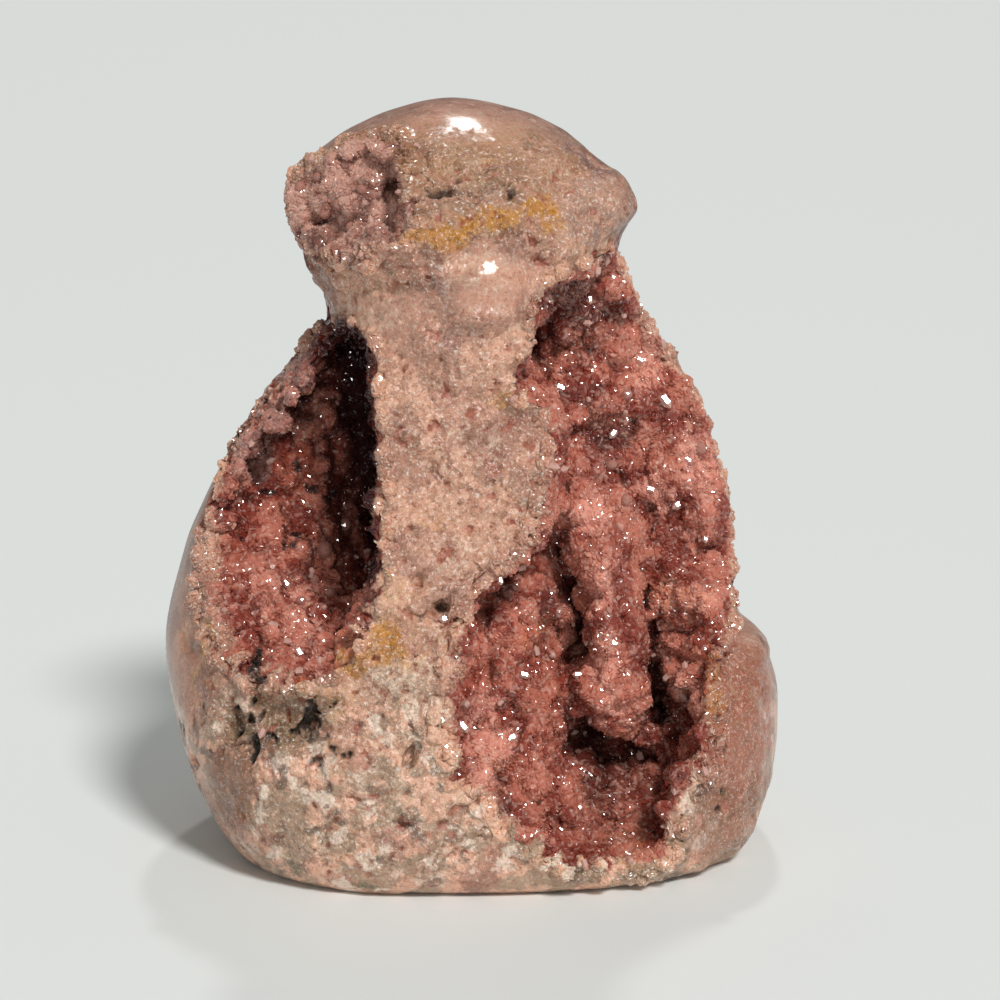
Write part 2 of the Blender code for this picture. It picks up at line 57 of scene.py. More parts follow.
print("CAD nodes:", ", ".join(sorted(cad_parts)))

# %% [markdown]
# ## A skin that can take detail
#
# The CAD nodes are a few thousand flat triangles, far too coarse for crystals a millimetre wide. A
# voxel remesh lays an even skin over a copy of a node, and a few rounds of smoothing take away the
# steps that the voxels leave. The node's own mesh is never touched: a copy is joined up and worked
# on instead.

# %% Copies, skins and modifiers
SAME_POINT = 0.001  # points closer than this, in millimetres, are joined into one


def new_object(name, bm):
    mesh = bpy.data.meshes.new(name)
    bm.to_mesh(mesh)
    bm.free()
    obj = bpy.data.objects.new(name, mesh)
    bpy.context.scene.collection.objects.link(obj)
    return obj


def settle(obj):
    """Swaps the object's mesh for the one that its modifiers make."""
    bpy.context.view_layer.update()
    graph = bpy.context.evaluated_depsgraph_get()
    mesh = bpy.data.meshes.new_from_object(obj.evaluated_get(graph))
    obj.modifiers.clear()
    obj.data = mesh
    return obj


def joined_copy(node):
    """A copy of a CAD node's mesh with its loose triangles joined into one skin."""
    bm = bmesh.new()
    bm.from_mesh(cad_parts[node].data)
    bmesh.ops.remove_doubles(bm, verts=bm.verts, dist=SAME_POINT * MM)
    return bm


def even_skin(obj, voxel, rounds):
    """Swaps the object's mesh for one with even triangles, with its steps smoothed away."""
    remesh = obj.modifiers.new("even skin", "REMESH")
    remesh.mode = "VOXEL"
    remesh.voxel_size = voxel * MM
    relax = obj.modifiers.new("relax", "SMOOTH")
    relax.factor = 0.5
    relax.iterations = rounds
    return settle(obj)


print("ready to copy the CAD nodes and to lay an even skin over each copy")

# %% [markdown]
# ## Measuring a skin
#
# Detail goes where the real stone has it, so each point of a skin needs to know where it is: how
# far from the crystals' rim, how deep in a hollow, in which mineral's patch. NumPy works these out
# for all points at once, and a BVH tree answers the questions that need the nearest surface.

# %% Points, directions and distances
RAY_START = 0.02  # rays start this far off the skin, in millimetres


def vectors_of(obj, name):
    flat = np.empty(len(obj.data.vertices) * 3)
    obj.data.vertices.foreach_get(name, flat)
    return flat.reshape(-1, 3)


def points_of(obj):
    return vectors_of(obj, "co")


def directions_of(obj):
    return vectors_of(obj, "normal")


def triangle_count(obj):
    obj.data.calc_loop_triangles()
    return len(obj.data.loop_triangles)


def keep_values(obj, name, values):
    """Stores a number for each point, which a material can read by its name."""
    layer = obj.data.attributes.new(name, "FLOAT", "POINT")
    layer.data.foreach_set("value", np.asarray(values, np.float32))


def tree_from(*meshes):
    """The surfaces of meshes as one tree, for rays and nearest points."""
    bm = bmesh.new()
    for mesh in meshes:
        bm.from_mesh(mesh)
    tree = BVHTree.FromBMesh(bm)
    bm.free()
    return tree


def tree_of(*nodes):
    return tree_from(*(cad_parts[node].data for node in nodes))


def distances(points, tree):
    """How far each point is from the tree's surface, in millimetres."""
    return np.array([tree.find_nearest(Vector(point))[3] for point in points]) / MM


def hidden_by(tree, obj, reach):
    """1 for each point whose direction soon meets the tree's surface, which hides it."""
    hidden = np.zeros(len(obj.data.vertices))
    for index, (point, way) in enumerate(zip(points_of(obj), directions_of(obj))):
        start = Vector(point + way * RAY_START * MM)
        if tree.ray_cast(start, Vector(way), reach * MM)[0] is not None:
            hidden[index] = 1.0
    return hidden


def soft_step(values, low, high):
    """0 under low, 1 over high and a smooth rise between, for numbers and arrays."""
    share = np.clip((values - low) / (high - low), 0.0, 1.0)
    return share * share * (3 - 2 * share)


crust_tree = tree_of(*CRUST_NODES)
stone_tree = tree_of("polished_stone")
whole_tree = tree_of("polished_stone", *CRUST_NODES)
print("three trees are ready: the crusts, the stone, and both together")

# %% [markdown]
# ## Grains and lumps
#
# Quartz that fills a space grows outwards from many seeds until the crystals meet. Worley noise
# has the same pattern: it gives each point the distance to the nearest of many scattered seeds. A
# dome over each seed makes the knobs of a crust, and a flat top on each dome makes crystals that a
# grinder has cut.

# %% Domes and waves
def domes(points, size, shift=0.0):
    """The height, from 0 to 1, of round domes about so many millimetres wide."""
    scale = 1.0 / (size * MM)
    move = Vector((shift, shift * 0.7, shift * 1.3))
    near = np.array([noise.voronoi(Vector(point) * scale + move)[0][:2] for point in points])
    edge = np.clip((near[:, 1] - near[:, 0]) / 0.5, 0.0, 1.0)
    pillow = np.sqrt(1.0 - (1.0 - edge) ** 2)
    return np.sqrt(np.clip(1.0 - (near[:, 0] / 0.85) ** 2, 0.0, 1.0)) * (0.7 + 0.3 * pillow)


def waves(points, size, shift=0.0, octaves=3):
    """Smooth ups and downs between about -1 and 1."""
    scale = 1.0 / (size * MM)
    move = Vector((shift, shift * 1.7, shift * 0.4))
    places = [Vector(point) * scale + move for point in points]
    return np.array([noise.fractal(place, 1.0, 2.0, octaves) for place in places])


def measured(measure, points, chosen, *settings):
    """Domes or waves for the chosen points alone, to save time, and 0 for the others."""
    values = np.zeros(len(points))
    values[chosen] = measure(points[chosen], *settings)
    return values


def displace(obj, heights):
    """Moves the points along the skin's own directions by heights in millimetres."""
    moved = points_of(obj) + directions_of(obj) * (heights * MM)[:, None]
    obj.data.vertices.foreach_set("co", moved.ravel())
    obj.data.update()


print("domes and waves are ready, with sizes in mm")

# %% [markdown]
# ## The stone
#
# The outside was ground on a wheel, so it runs in one even sweep, and the CAD model's flat facets
# have to go. Smoothing does it, held back by a vertex group wherever a form must stay: on the
# walls behind the crusts, along the rims, in the pits and at the flat base.

# %% The stone's even skin
STONE_VOXEL = 0.5
SMOOTHING_ROUNDS = 70
PITS = [  # places and reach of the pits and chips that the CAD model has: x, y, z, reach
    (-8.9, -36.3, 23.2, 4.6),
    (-4.3, -33.0, 45.2, 3.6),
    (-7.7, -31.4, 49.8, 2.6),
    (-12.1, -26.6, 82.2, 3.6),
    (-46.0, -10.0, 47.4, 3.0),
    (-30.4, -30.6, 28.4, 6.2),
    (-36.8, -26.2, 25.8, 4.2),
    (-23.4, -33.4, 26.8, 4.2),
    (41.4, -26.0, 1.2, 7.0),
    (37.6, -28.4, 14.4, 2.6),
]


def pit_cover(points):
    cover = np.zeros(len(points))
    for x, y, z, reach in PITS:
        gap = np.linalg.norm(points / MM - (x, y, z), axis=1)
        cover = np.maximum(cover, 1.0 - soft_step(gap, reach * 0.8, reach * 1.3))
    return cover


def behind_crust(obj):
    return hidden_by(crust_tree, obj, 2.4)


def weigh(obj, name, weights):
    """A vertex group with a weight for each point."""
    group = obj.vertex_groups.new(name=name)
    for level in range(1, 11):
        chosen = np.flatnonzero(np.round(weights * 10) == level)
        group.add([int(index) for index in chosen], level / 10, "REPLACE")
    return group.name


stone = even_skin(new_object("stone", joined_copy("polished_stone")), STONE_VOXEL, 2)
hidden = behind_crust(stone)
from_rim = distances(points_of(stone), crust_tree)
free = (1 - hidden) * soft_step(from_rim, 0.8, 2.2) * (1 - pit_cover(points_of(stone)))
free *= soft_step(points_of(stone)[:, 2] / MM, 0.6, 2.5)
sweep = stone.modifiers.new("ground sweep", "SMOOTH")
sweep.factor = 0.5
sweep.iterations = SMOOTHING_ROUNDS
sweep.vertex_group = weigh(stone, "ground", free)
settle(stone)
print("stone skin:", len(stone.data.vertices), "points, hidden share", round(hidden.mean(), 2))

# %% [markdown]
# ## Stains
#
# The colours of a stone come in patches with ragged edges: ochre where limonite soaked in, khaki
# and green from chlorite, brick red from hematite, cream where the quartz is clean. Each gets a
# list of soft spots, in millimetres in the front view. Three lists are painted light and shade,
# not minerals: painted light on the crust's lumps that stand out, painted shade where the
# crystals lie deep, and painted shadow where the column shades the left hollow and hardly any
# light comes back. The cream spot below the brow is painted light too, and the rust and umber
# spots on the left flank are painted shade. The cover of each point is kept with the mesh, and
# the material breaks the edges up with noise. The sides and the back have no spots, only clouds
# of colour, and they are painted darker, as shade.

# %% Patches of mineral, and of painted light and shade
STAINS = {  # x, z, reach across, reach up and strength of each soft spot
    "ochre": [
        (-6.1, 101, 5, 1.8, 0.9), (-2.1, 102, 4.4, 2.1, 1), (4.5, 103.3, 5, 1.8, 0.9),
        (9.7, 104.6, 3.8, 2.7, 1), (11.6, 102, 2.1, 2.4, 0.7), (-8.6, 99.4, 3.3, 1.2, 0.6),
        (0.1, 110.8, 7.5, 2.4, 0.45), (-12.9, 113, 6.1, 1.9, 0.45), (-12.5, 40, 5, 3.6, 0.9),
        (-17, 37.5, 4.6, 3.2, 0.85), (-9.7, 38.5, 3.3, 2.8, 0.6), (-11.2, 48.1, 3.9, 3.7, 0.45),
        (-4.4, 58.6, 3.9, 3.1, 0.45), (4.5, 76.4, 3.3, 1.4, 0.7), (37.5, 30.7, 2.5, 6.4, 0.55),
        (-19.6, 31.7, 3.9, 4.6, 0.5), (1.5, 19.8, 4.5, 4.6, 0.35), (-25.7, 32.7, 3.9, 1.9, 0.4),
        (33, 42, 7, 3, 0.6), (10, 37, 4, 3, 0.5), (25, 6, 6, 2, 0.5),
    ],
    "khaki": [
        (-4, 106, 10, 3.6, 0.6), (4, 109, 8, 3, 0.6), (14, 108, 6, 3.6, 0.5),
        (-2.9, 111.5, 6, 2.4, 0.5), (11.3, 114.2, 5.1, 2.5, 0.8), (15.9, 110.4, 3, 2.2, 0.5),
        (-5.8, 107.4, 5, 2.7, 0.5), (-12.6, 93.3, 3.3, 4, 0.45), (-35.2, 23.4, 4.3, 5.3, 0.95),
        (-27.2, 26.2, 6, 5.3, 0.9), (-21.1, 22.6, 3.9, 4, 0.7), (-31.8, 30.3, 3.4, 3.7, 0.9),
        (-24.2, 31.2, 5.2, 2.5, 0.8), (-16.7, 7.4, 3.6, 2.2, 0.5), (-25.7, 15, 4.5, 3.1, 0.5),
        (-12.8, 17, 3.6, 3.4, 0.4), (-44.3, 36.2, 3.1, 6.4, 0.5), (38.4, 13.2, 3.4, 3.5, 0.7),
        (-5, 45.5, 3.3, 2.5, 0.7), (13.7, 7.1, 6.1, 2.2, 0.3),
    ],
    # Cream quartz; the spot at x 0, z 96, below the brow, is painted light.
    "cream_and_painted_light": [
        (-10.5, 36.4, 5.1, 3.7, 0.9), (-6.7, 31.3, 5.1, 5.5, 0.8), (0.1, 70.6, 6, 6.1, 0.5),
        (-5.9, 76.4, 5.1, 6.1, 0.4), (0.8, 109.5, 4.5, 3, 0.6), (-12.8, 48.1, 3.3, 5.2, 0.6),
        (-2.2, 52.7, 3.9, 3.7, 0.55), (-11.3, 17, 3, 5.2, 0.6), (-13.4, 88.3, 5.1, 3.4, 0.6),
        (-6.6, 99.4, 3, 4.6, 0.3), (-18, 18.5, 5.1, 2.2, 0.4), (7.6, 65.9, 3.3, 6.1, 0.35),
        (-26, 68, 3, 4, 0.5), (37, 68, 4, 8, 0.35), (0, 96, 9, 4, 0.6),
    ],
    "brick": [
        (42, 24, 9, 15, 0.75), (40, 36, 6, 5, 0.6), (2.8, 66.3, 1.3, 2.1, 1),
        (1.3, 61.9, 1, 1.5, 0.8), (6, 100.8, 1.5, 0.9, 0.7), (11.8, 65.7, 1.2, 9.2, 0.7),
        (10.5, 88.1, 1.5, 7.6, 0.6), (1.5, 118.6, 9.2, 1.6, 0.55), (13.8, 117.1, 6.2, 1.6, 0.35),
        (-18.7, 105.6, 6, 3.7, 0.4), (-5.9, 72, 2.1, 4.6, 0.35), (-9.3, 67.4, 1.8, 2.8, 0.4),
        (-6.1, 3.8, 9.1, 2.2, 0.5), (-32.2, 7.6, 3.7, 3.8, 0.6), (42.8, 14.5, 1.6, 1.6, 0.8),
        (35.6, 4.9, 6.2, 1.6, 0.6), (-3.8, 9, 5.1, 2.8, 0.4), (-0.7, 32, 3, 9.2, 0.5),
        (-28, 61, 5, 5, 0.9), (-36, 50, 4, 4, 0.7), (12, 30, 5, 7, 0.6), (19, 50, 4, 5, 0.5),
        (28, 12, 7, 6, 0.6), (21, 72, 5, 3, 0.5),
    ],
    "mauve": [
        (19, 104, 8, 6, 0.9), (8, 98, 7, 3, 0.6), (-12, 100, 4, 3, 0.7), (0, 106, 22, 8, 0.45),
        (-1.1, 88.6, 6, 5.2, 0.6), (-2.9, 84.5, 3, 2.4, 0.9), (-4.4, 93.8, 3.6, 1.8, 0.8),
        (18.4, 106.5, 5.1, 3.4, 0.9), (19.7, 102.3, 3.6, 3.7, 0.6), (-10.4, 102, 2.4, 2.1, 0.7),
        (-1.4, 80.1, 3.9, 3.1, 0.4), (-43.1, 47.7, 2.5, 9.7, 0.7), (-40, 41.6, 2.5, 4.8, 0.6),
        (-10.6, 9.8, 5.1, 2.5, 0.7), (-21.2, 9, 3.6, 3.1, 0.5), (-6, 18.2, 3.9, 4, 0.4),
        (4.5, 91.3, 3, 3.7, 0.4), (20, 62, 4, 5, 0.5), (-20, 101, 4, 3, 0.5), (-24, 62, 4, 5, 0.4),
        (-35, 64, 4, 6, 1), (-31, 71, 4, 5, 1), (-27, 77, 4, 4, 0.9),
    ],
    # Painted light on the crust's lumps that stand out: the pillar, the ledge and lumps in both
    # hollows.
    "painted_light": [
        (19, 56, 4, 4, 1), (20.5, 46, 3.6, 6, 0.9), (21.5, 34, 3.4, 6, 0.9), (22, 26, 3.2, 3, 0.9),
        (37, 61, 4.5, 7, 0.9), (30, 57, 4, 3.5, 0.9), (28, 76.5, 3.5, 5, 0.8), (24, 84, 3, 3, 0.6),
        (34.6, 41.7, 6.5, 3.2, 0.9), (3.8, 21, 5, 4.5, 0.9), (1.5, 28, 3.6, 4, 0.7),
        (33.9, 27, 2.4, 4, 0.9), (28, 15, 3, 1.8, 0.7), (-28.8, 41.5, 7, 5, 0.65),
        (-25.7, 37.2, 5, 2.5, 0.6), (-33, 46, 5, 4, 0.6), (-26.7, 73.5, 4, 3, 0.6),
    ],
    "shade": [
        (19, 87, 6, 4, 0.9), (22, 9, 9, 4, 0.7), (15.4, 90, 6, 5, 1), (17, 82, 5, 4, 0.8),
        (23.7, 67, 6, 3.5, 0.9), (19, 73, 5, 3, 0.7), (4.6, 45, 3.5, 2.2, 1),
        (4.6, 16.3, 3, 2, 0.8), (23, 12.5, 8, 4.5, 1), (29, 33, 2.5, 7, 0.7), (12, 38, 2, 8, 0.8),
        (-18.6, 62, 3, 16, 1), (-16, 105, 2, 3, 0.9), (-24, 99.5, 4, 1.5, 0.8),
        (22, 83, 4, 3, 0.6), (30, 22, 4, 6, 0.7), (17, 20, 4, 5, 0.7),
    ],
    # Rust red on the right lobe; the spots on the left flank are painted shade.
    "rust_and_shade": [
        (42, 24, 11, 16, 1), (40, 10, 10, 9, 1), (-38, 14, 5, 12, 0.9), (-44, 30, 5, 12, 0.7),
        (-46, 46, 4, 12, 0.6), (46, 22, 8, 18, 1),
    ],
    "tan": [
        (0, 112, 27, 7.5, 1), (8, 105, 20, 7, 0.9), (18, 104, 11, 9, 0.7), (-14, 94, 8, 5, 0.5),
        (-8, 42, 8, 5, 0.6),
    ],
    # Umber on the head and the right lobe; the spots on the left flank are painted shade.
    "umber_and_shade": [
        (-12, 113, 8, 3.6, 1), (-3, 115.5, 7, 1.8, 0.7), (12, 113.5, 6, 2.4, 0.8),
        (1, 107, 7, 1.6, 0.7), (-7, 104.5, 4, 1.5, 0.8), (19, 109, 4, 2, 0.6),
        (20, 102, 4, 4, 0.5), (-40, 34, 4, 8, 0.8), (-37, 15, 5, 10, 0.85), (42, 14, 7, 7, 0.85),
        (44, 27, 5, 9, 0.7), (23, 105, 4, 4, 0.5),
    ],
    # Painted shadow that the column casts on the left hollow: the crust there is painted near black
    # and sunk.
    "painted_shadow": [
        (-19, 81, 4.5, 7, 1), (-18, 72, 4, 9, 1), (-17, 61, 3.2, 9, 1), (-16, 52, 2.6, 7, 1),
    ],
    "vein": [
        (-40.4, 39.5, 0.35, 1.8, 1), (-41.2, 36, 0.35, 2.2, 1), (-42, 32, 0.35, 2.4, 1),
        (-42.6, 28, 0.35, 2.2, 1),
    ],
    "green": [
        (-27.4, 3.4, 2.8, 0.9, 1), (-16.8, 3, 3.4, 1.1, 1), (-17.4, 11.9, 1.2, 0.9, 0.7),
        (-32.7, 20.4, 1.5, 1.6, 0.5), (39.3, 14.5, 1.4, 1.3, 0.8),
    ],
    # Black marks: cracks and small dark holes, painted near black, and sunk where they lie on the
    # stone.
    "black_marks": [
        (-33.1, 33.8, 1.7, 3.4, 1), (-35.9, 24.7, 1.1, 3.8, 0.7), (-24.5, 25.8, 1.4, 1.9, 0.8),
        (-23.3, 21.4, 1.5, 1.2, 0.8), (-27.7, 30.9, 2.4, 1.2, 0.5), (-4.4, 45.2, 1.5, 1.2, 0.9),
        (-7.8, 44, 1.8, 0.8, 0.7), (39.4, 14.5, 0.8, 0.8, 0.9), (-10.1, 12.5, 0.9, 1.1, 0.7),
        (-10.5, 17.6, 0.8, 1.2, 0.7), (-40.4, 5, 1.2, 6.4, 0.4), (0.1, 106.7, 2.1, 0.8, 0.5),
        (-5.8, 106.7, 2.1, 0.9, 0.35), (-46.2, 21, 0.6, 2.8, 0.8), (-44.8, 16, 0.6, 3, 0.9),
        (-43, 11, 0.6, 3, 0.9), (-41.2, 6.5, 0.7, 2.6, 0.8), (14.8, 77.6, 1.2, 0.7, 0.9),
        (-28, 61, 1.3, 1.2, 1), (-25, 58, 1.8, 1.4, 1), (-32.5, 57, 1.9, 1.1, 1),
        (-29, 50, 1, 1.2, 1), (-23, 56, 1.3, 1.3, 1),
    ],
}


def facing_front(obj):
    """1 for what faces the front, and 0 for the far sides and the back."""
    return soft_step(-directions_of(obj)[:, 1], 0.05, 0.55)


def covered(points, spots):
    """How strongly soft spots in the front view cover each point, from 0 to 1."""
    cover = np.zeros(len(points))
    for x, z, across, up, strength in spots:
        reach = np.hypot((points[:, 0] / MM - x) / across, (points[:, 2] / MM - z) / up)
        cover = np.maximum(cover, strength * (1.0 - soft_step(reach, 0.45, 1.3)))
    return cover


def ragged_points(points):
    """The points, moved about a little, so that a spot measured from them has a ragged outline."""
    ragged = points.copy()
    for axis in range(3):
        ragged[:, axis] += waves(points, 5.0, 20.0 + axis) * 1.8 * MM
    return ragged


CLOUDS = {  # the size in mm of each cloud of colour, the shift of its pattern and its octaves
    "salmon": (12.0, 31.0, 3),
    "dusk": (7.0, 33.0, 4),
    "grey": (8.0, 35.0, 3),
    "flesh": (4.4, 37.0, 3),
    "pale": (3.4, 39.0, 3),
    "dark": (3.4, 41.0, 3),
}


def stain(obj, front):
    """Keeps the cover of each mineral, painted light and shade, and cloud of colour at every point.
    """
    points = points_of(obj)
    ragged = ragged_points(points)
    for mineral, spots in STAINS.items():
        keep_values(obj, mineral, covered(ragged, spots) * front)
    for name, (size, shift, octaves) in CLOUDS.items():
        keep_values(obj, name, waves(points, size, shift, octaves))
    mixture = 1 - soft_step(points[:, 2] / MM + waves(points, 14.0, 6.0) * 8.0, 22.0, 34.0)
    keep_values(obj, "mixture", mixture)


print("stains:", ", ".join(STAINS))

# %% [markdown]
# ## Cut crystals, knobs and holes
#
# The grinder stopped while the crystals still showed. On the column, the head and the base they
# are cut flat, with fine dark seams between them and small holes where one fell out. Along each
# hollow's rim the crust is cut through, so the edge is a row of round knobs. All of it is real
# relief: heights in millimetres, each with its own place, added up and pushed into the skin.

# %% Where the stone is rough
ROUGH = [  # x, z, reach across, reach up, strength, for what faces the front
    (0.0, 66.0, 17.0, 30.0, 0.85),
    (-2.0, 99.0, 25.0, 9.0, 1.0),
    (-22.0, 98.0, 14.0, 12.0, 1.0),
    (-4.0, 107.0, 20.0, 7.5, 1.0),
    (14.0, 104.0, 16.0, 10.0, 0.8),
    (-8.0, 34.0, 20.0, 18.0, 0.9),
    (-30.0, 26.0, 14.0, 9.0, 1.0),
    (-14.0, 12.0, 28.0, 11.0, 0.7),
    (24.0, 4.0, 18.0, 4.0, 0.5),
    (40.0, 10.0, 9.0, 9.0, 0.5),
    (41.0, 25.0, 7.0, 12.0, 0.35),
]

BULGES = [  # places like those above where the stone swells; the last number is in millimetres
    (2.4, 92.2, 7.5, 5.0, 2.3),
    (1.5, 84.5, 9.5, 7.0, 1.6),
    (25.0, 105.5, 6.0, 5.5, 1.7),
    (47.5, 33.5, 4.0, 3.0, 1.6),
]
NODULES = [(0.0, 105.0, 26.0, 9.0, 1.0), (-20.0, 98.0, 9.0, 10.0, 0.8)]  # where knobs are tallest
POLISHED = [  # where the polish is best
    (2.4, 95.0, 7.0, 5.0, 1.0), (3.0, 119.0, 16.0, 3.0, 0.8), (23.0, 108.0, 5.0, 6.0, 0.5),
]
print("rough places:", len(ROUGH), "and bulges:", len(BULGES))

# %% The stone's relief
# Each form's size, and its height or depth, in millimetres.
KNOB, KNOB_HEIGHT = 3.2, 1.5
SWELL, SWELL_HEIGHT = 9.0, 1.4
GRAIN, SEAM_DEPTH = 1.5, 0.25
HOLE, HOLE_DEPTH = 2.4, 0.8
CREVICE, CREVICE_DEPTH = 4.0, 1.1
NODULE, BLACK_MARK_DEPTH, FLANK_RIM_DEPTH = 3.8, 1.4, 0.2


def knobby(points):
    """The row of knobs that a cut crust shows at its edge, as heights in millimetres."""
    large = (domes(points, KNOB, 2.0) - 0.5) * KNOB_HEIGHT
    return large + (domes(points, KNOB * 0.45, 5.0) - 0.5) * KNOB_HEIGHT * 0.4


points = points_of(stone)
outside = 1 - behind_crust(stone)
from_rim = distances(points, crust_tree)
rim = outside * (1 - soft_step(from_rim, 0.8, 3.2))
front = facing_front(stone)
open_front = soft_step(-directions_of(stone)[:, 1], -0.4, 0.3)
rough = outside * np.maximum(covered(points, ROUGH) * open_front, rim * 0.9)
rough *= 1 - 0.9 * covered(points, POLISHED)
seams = 1 - soft_step(measured(domes, points, rough > 0, GRAIN), 0.1, 0.5)
holes = soft_step(measured(waves, points, rough > 0, HOLE, 4.0, 4), 0.42, 0.6) * rough
ragged = points.copy()
ragged[front > 0] = ragged_points(points[front > 0])
khaki = covered(ragged, STAINS["khaki"] + STAINS["black_marks"]) * front * outside
crevices = soft_step(measured(waves, points, khaki > 0, CREVICE, 11.0, 5), 0.12, 0.5)
crevices *= soft_step(khaki, 0.35, 0.8)
black_marks = covered(ragged, STAINS["black_marks"]) * front * outside
heights = measured(knobby, points, rim > 0) * rim * (0.4 + 0.6 * front)
heights += measured(waves, points, rough > 0, SWELL, 1.0, 5) * SWELL_HEIGHT * rough
nodules = 0.9 + 0.9 * covered(points, NODULES)
heights += (measured(domes, points, rough > 0, NODULE, 9.0) - 0.6) * nodules * rough * (1 - rim)
heights -= (
    seams * SEAM_DEPTH * rough + holes * HOLE_DEPTH + soft_step(black_marks, 0.3, 0.9) * BLACK_MARK_DEPTH
)
heights -= crevices * CREVICE_DEPTH + rim * (1 - front) * FLANK_RIM_DEPTH
for bulge in BULGES:
    heights += covered(points, [bulge]) * open_front
displace(stone, heights * outside)
keep_values(stone, "seam", np.clip(seams * rough * 0.7 + holes, 0, 1))
keep_values(stone, "crevice", crevices)
keep_values(stone, "rough", rough)
keep_values(stone, "front", front)
keep_values(stone, "flank_edge", rim * (1 - front))
print("relief in mm:", round(heights.min(), 1), "to", round(heights.max(), 1))

# %% Thinning and staining the stone
STONE_TRIANGLES = 190000

thin = stone.modifiers.new("thin the hidden walls", "DECIMATE")
thin.ratio = STONE_TRIANGLES / triangle_count(stone)
thin.vertex_group = weigh(stone, "plain", np.clip((1 - outside) + 0.1 * (1 - rough), 0, 1))
thin.vertex_group_factor = 0.02
settle(stone)
stone.data.shade_smooth()
stain(stone, facing_front(stone))
print("stone:", triangle_count(stone), "triangles, rough share", round(rough.mean(), 2))

# %% [markdown]
# ## The crusts
#
# Each hollow is lined with druzy quartz: a crust of fine six-sided points that swells into lumps.
# The lumps come first, as domes of three sizes on an even skin. Then the skin is thinned to large
# triangles, and a bevel on its corners alone turns every triangle and every corner into a cell,
# most of them six-sided. A cell that is inset, raised and poked is one crystal: a short prism with
# a pointed end.

# %% The knobs along a crust's edge
CRUST_VOXEL = 0.45
SEAM_FILL = 0.5  # how far a crust's back is pushed out, to close the gap to the stone
EDGE_BAND = 1.9  # how far the knobs at an edge spread over the stone, in millimetres


def open_edge(obj):
    """The stone's open points near any crust: places, directions, and how they face."""
    near = (distances(points_of(obj), crust_tree) < EDGE_BAND) & (behind_crust(obj) < 0.5)
    return points_of(obj)[near], directions_of(obj)[near], facing_front(obj)[near]


def edge_band(tree, reach):
    """The part of the open edge within reach of one crust, with each point's distance to it."""
    gaps = distances(stone_edge[0], tree)
    return [values[gaps < reach] for values in (*stone_edge, gaps)]


def unit_ball():
    """The points and faces of a round ball of radius 1."""
    bm = bmesh.new()
    bmesh.ops.create_icosphere(bm, subdivisions=2, radius=1.0)
    corners = np.array([vert.co for vert in bm.verts])
    faces = np.array([[vert.index for vert in face.verts] for face in bm.faces])
    bm.free()
    return corners, faces


def edge_knobs(band, seed, room=0.75):
    """Balls of many sizes, sunk in the edge, that hide the seam between a crust and the stone."""
    pick = random.Random(seed)
    order = list(range(len(band[0])))
    pick.shuffle(order)
    chosen, centres, sizes = [], np.zeros((len(order), 3)), np.zeros(len(order))
    for index in order:
        point, way, front, gap = (values[index] for values in band)
        size = (0.6 + 1.2 * pick.random() ** 2) * (1 - 0.4 * gap / EDGE_BAND) * MM
        size *= 0.35 + 0.65 * front
        count = len(chosen)
        gaps = np.linalg.norm(centres[:count] - point, axis=1)
        if np.all(gaps > (sizes[:count] + size) * room):
            centres[count], sizes[count] = point, size
            chosen.append(point - way * size * (0.95 - 0.4 * front))
    corners, faces = unit_ball()
    points = [centre + corners * size for centre, size in zip(chosen, sizes)]
    links = [faces + len(corners) * step for step in range(len(chosen))]
    mesh = bpy.data.meshes.new("edge knobs")
    mesh.from_pydata(np.concatenate(points).tolist(), [], np.concatenate(links).tolist())
    return mesh


def with_knobs(node, name, seed):
    """A crust's copy with the knobs along its edge added."""
    bm = joined_copy(node)
    bm.from_mesh(edge_knobs(edge_band(tree_of(node), EDGE_BAND), seed))
    return new_object(name, bm)


stone_edge = open_edge(stone)
print("points along the crusts' edges:", len(stone_edge[0]))


# %% A crust's lumps
LIP_DROP = 0.9  # how far a crust's edge on a flank lies under the stone's skin, in millimetres
LUMPS = ((1.0, 3.0), (0.42, 8.0), (0.2, 1.0))  # a lump's share of the size, its pattern's shift
BACK_REACH = 1.6  # a crust's skin is its back if the stone is nearer than this, in millimetres
LIP_REACH = 1.6  # the stone's open points this near a crust, in millimetres, mark that crust's edge


def point_finder(points):
    finder = KDTree(len(points))
    for index, point in enumerate(points):
        finder.insert(Vector(point), index)
    finder.balance()
    return finder


def edge_share(points, band, reach):
    """1 at a crust's edge and 0 past the reach, how the edge faces the front, and its distance."""
    finder = point_finder(band[0])
    found = [finder.find(Vector(point))[1:] for point in points]
    gaps = np.array([gap for index, gap in found]) / MM
    return 1 - soft_step(gaps, 1.0, reach), band[2][[index for index, gap in found]], gaps


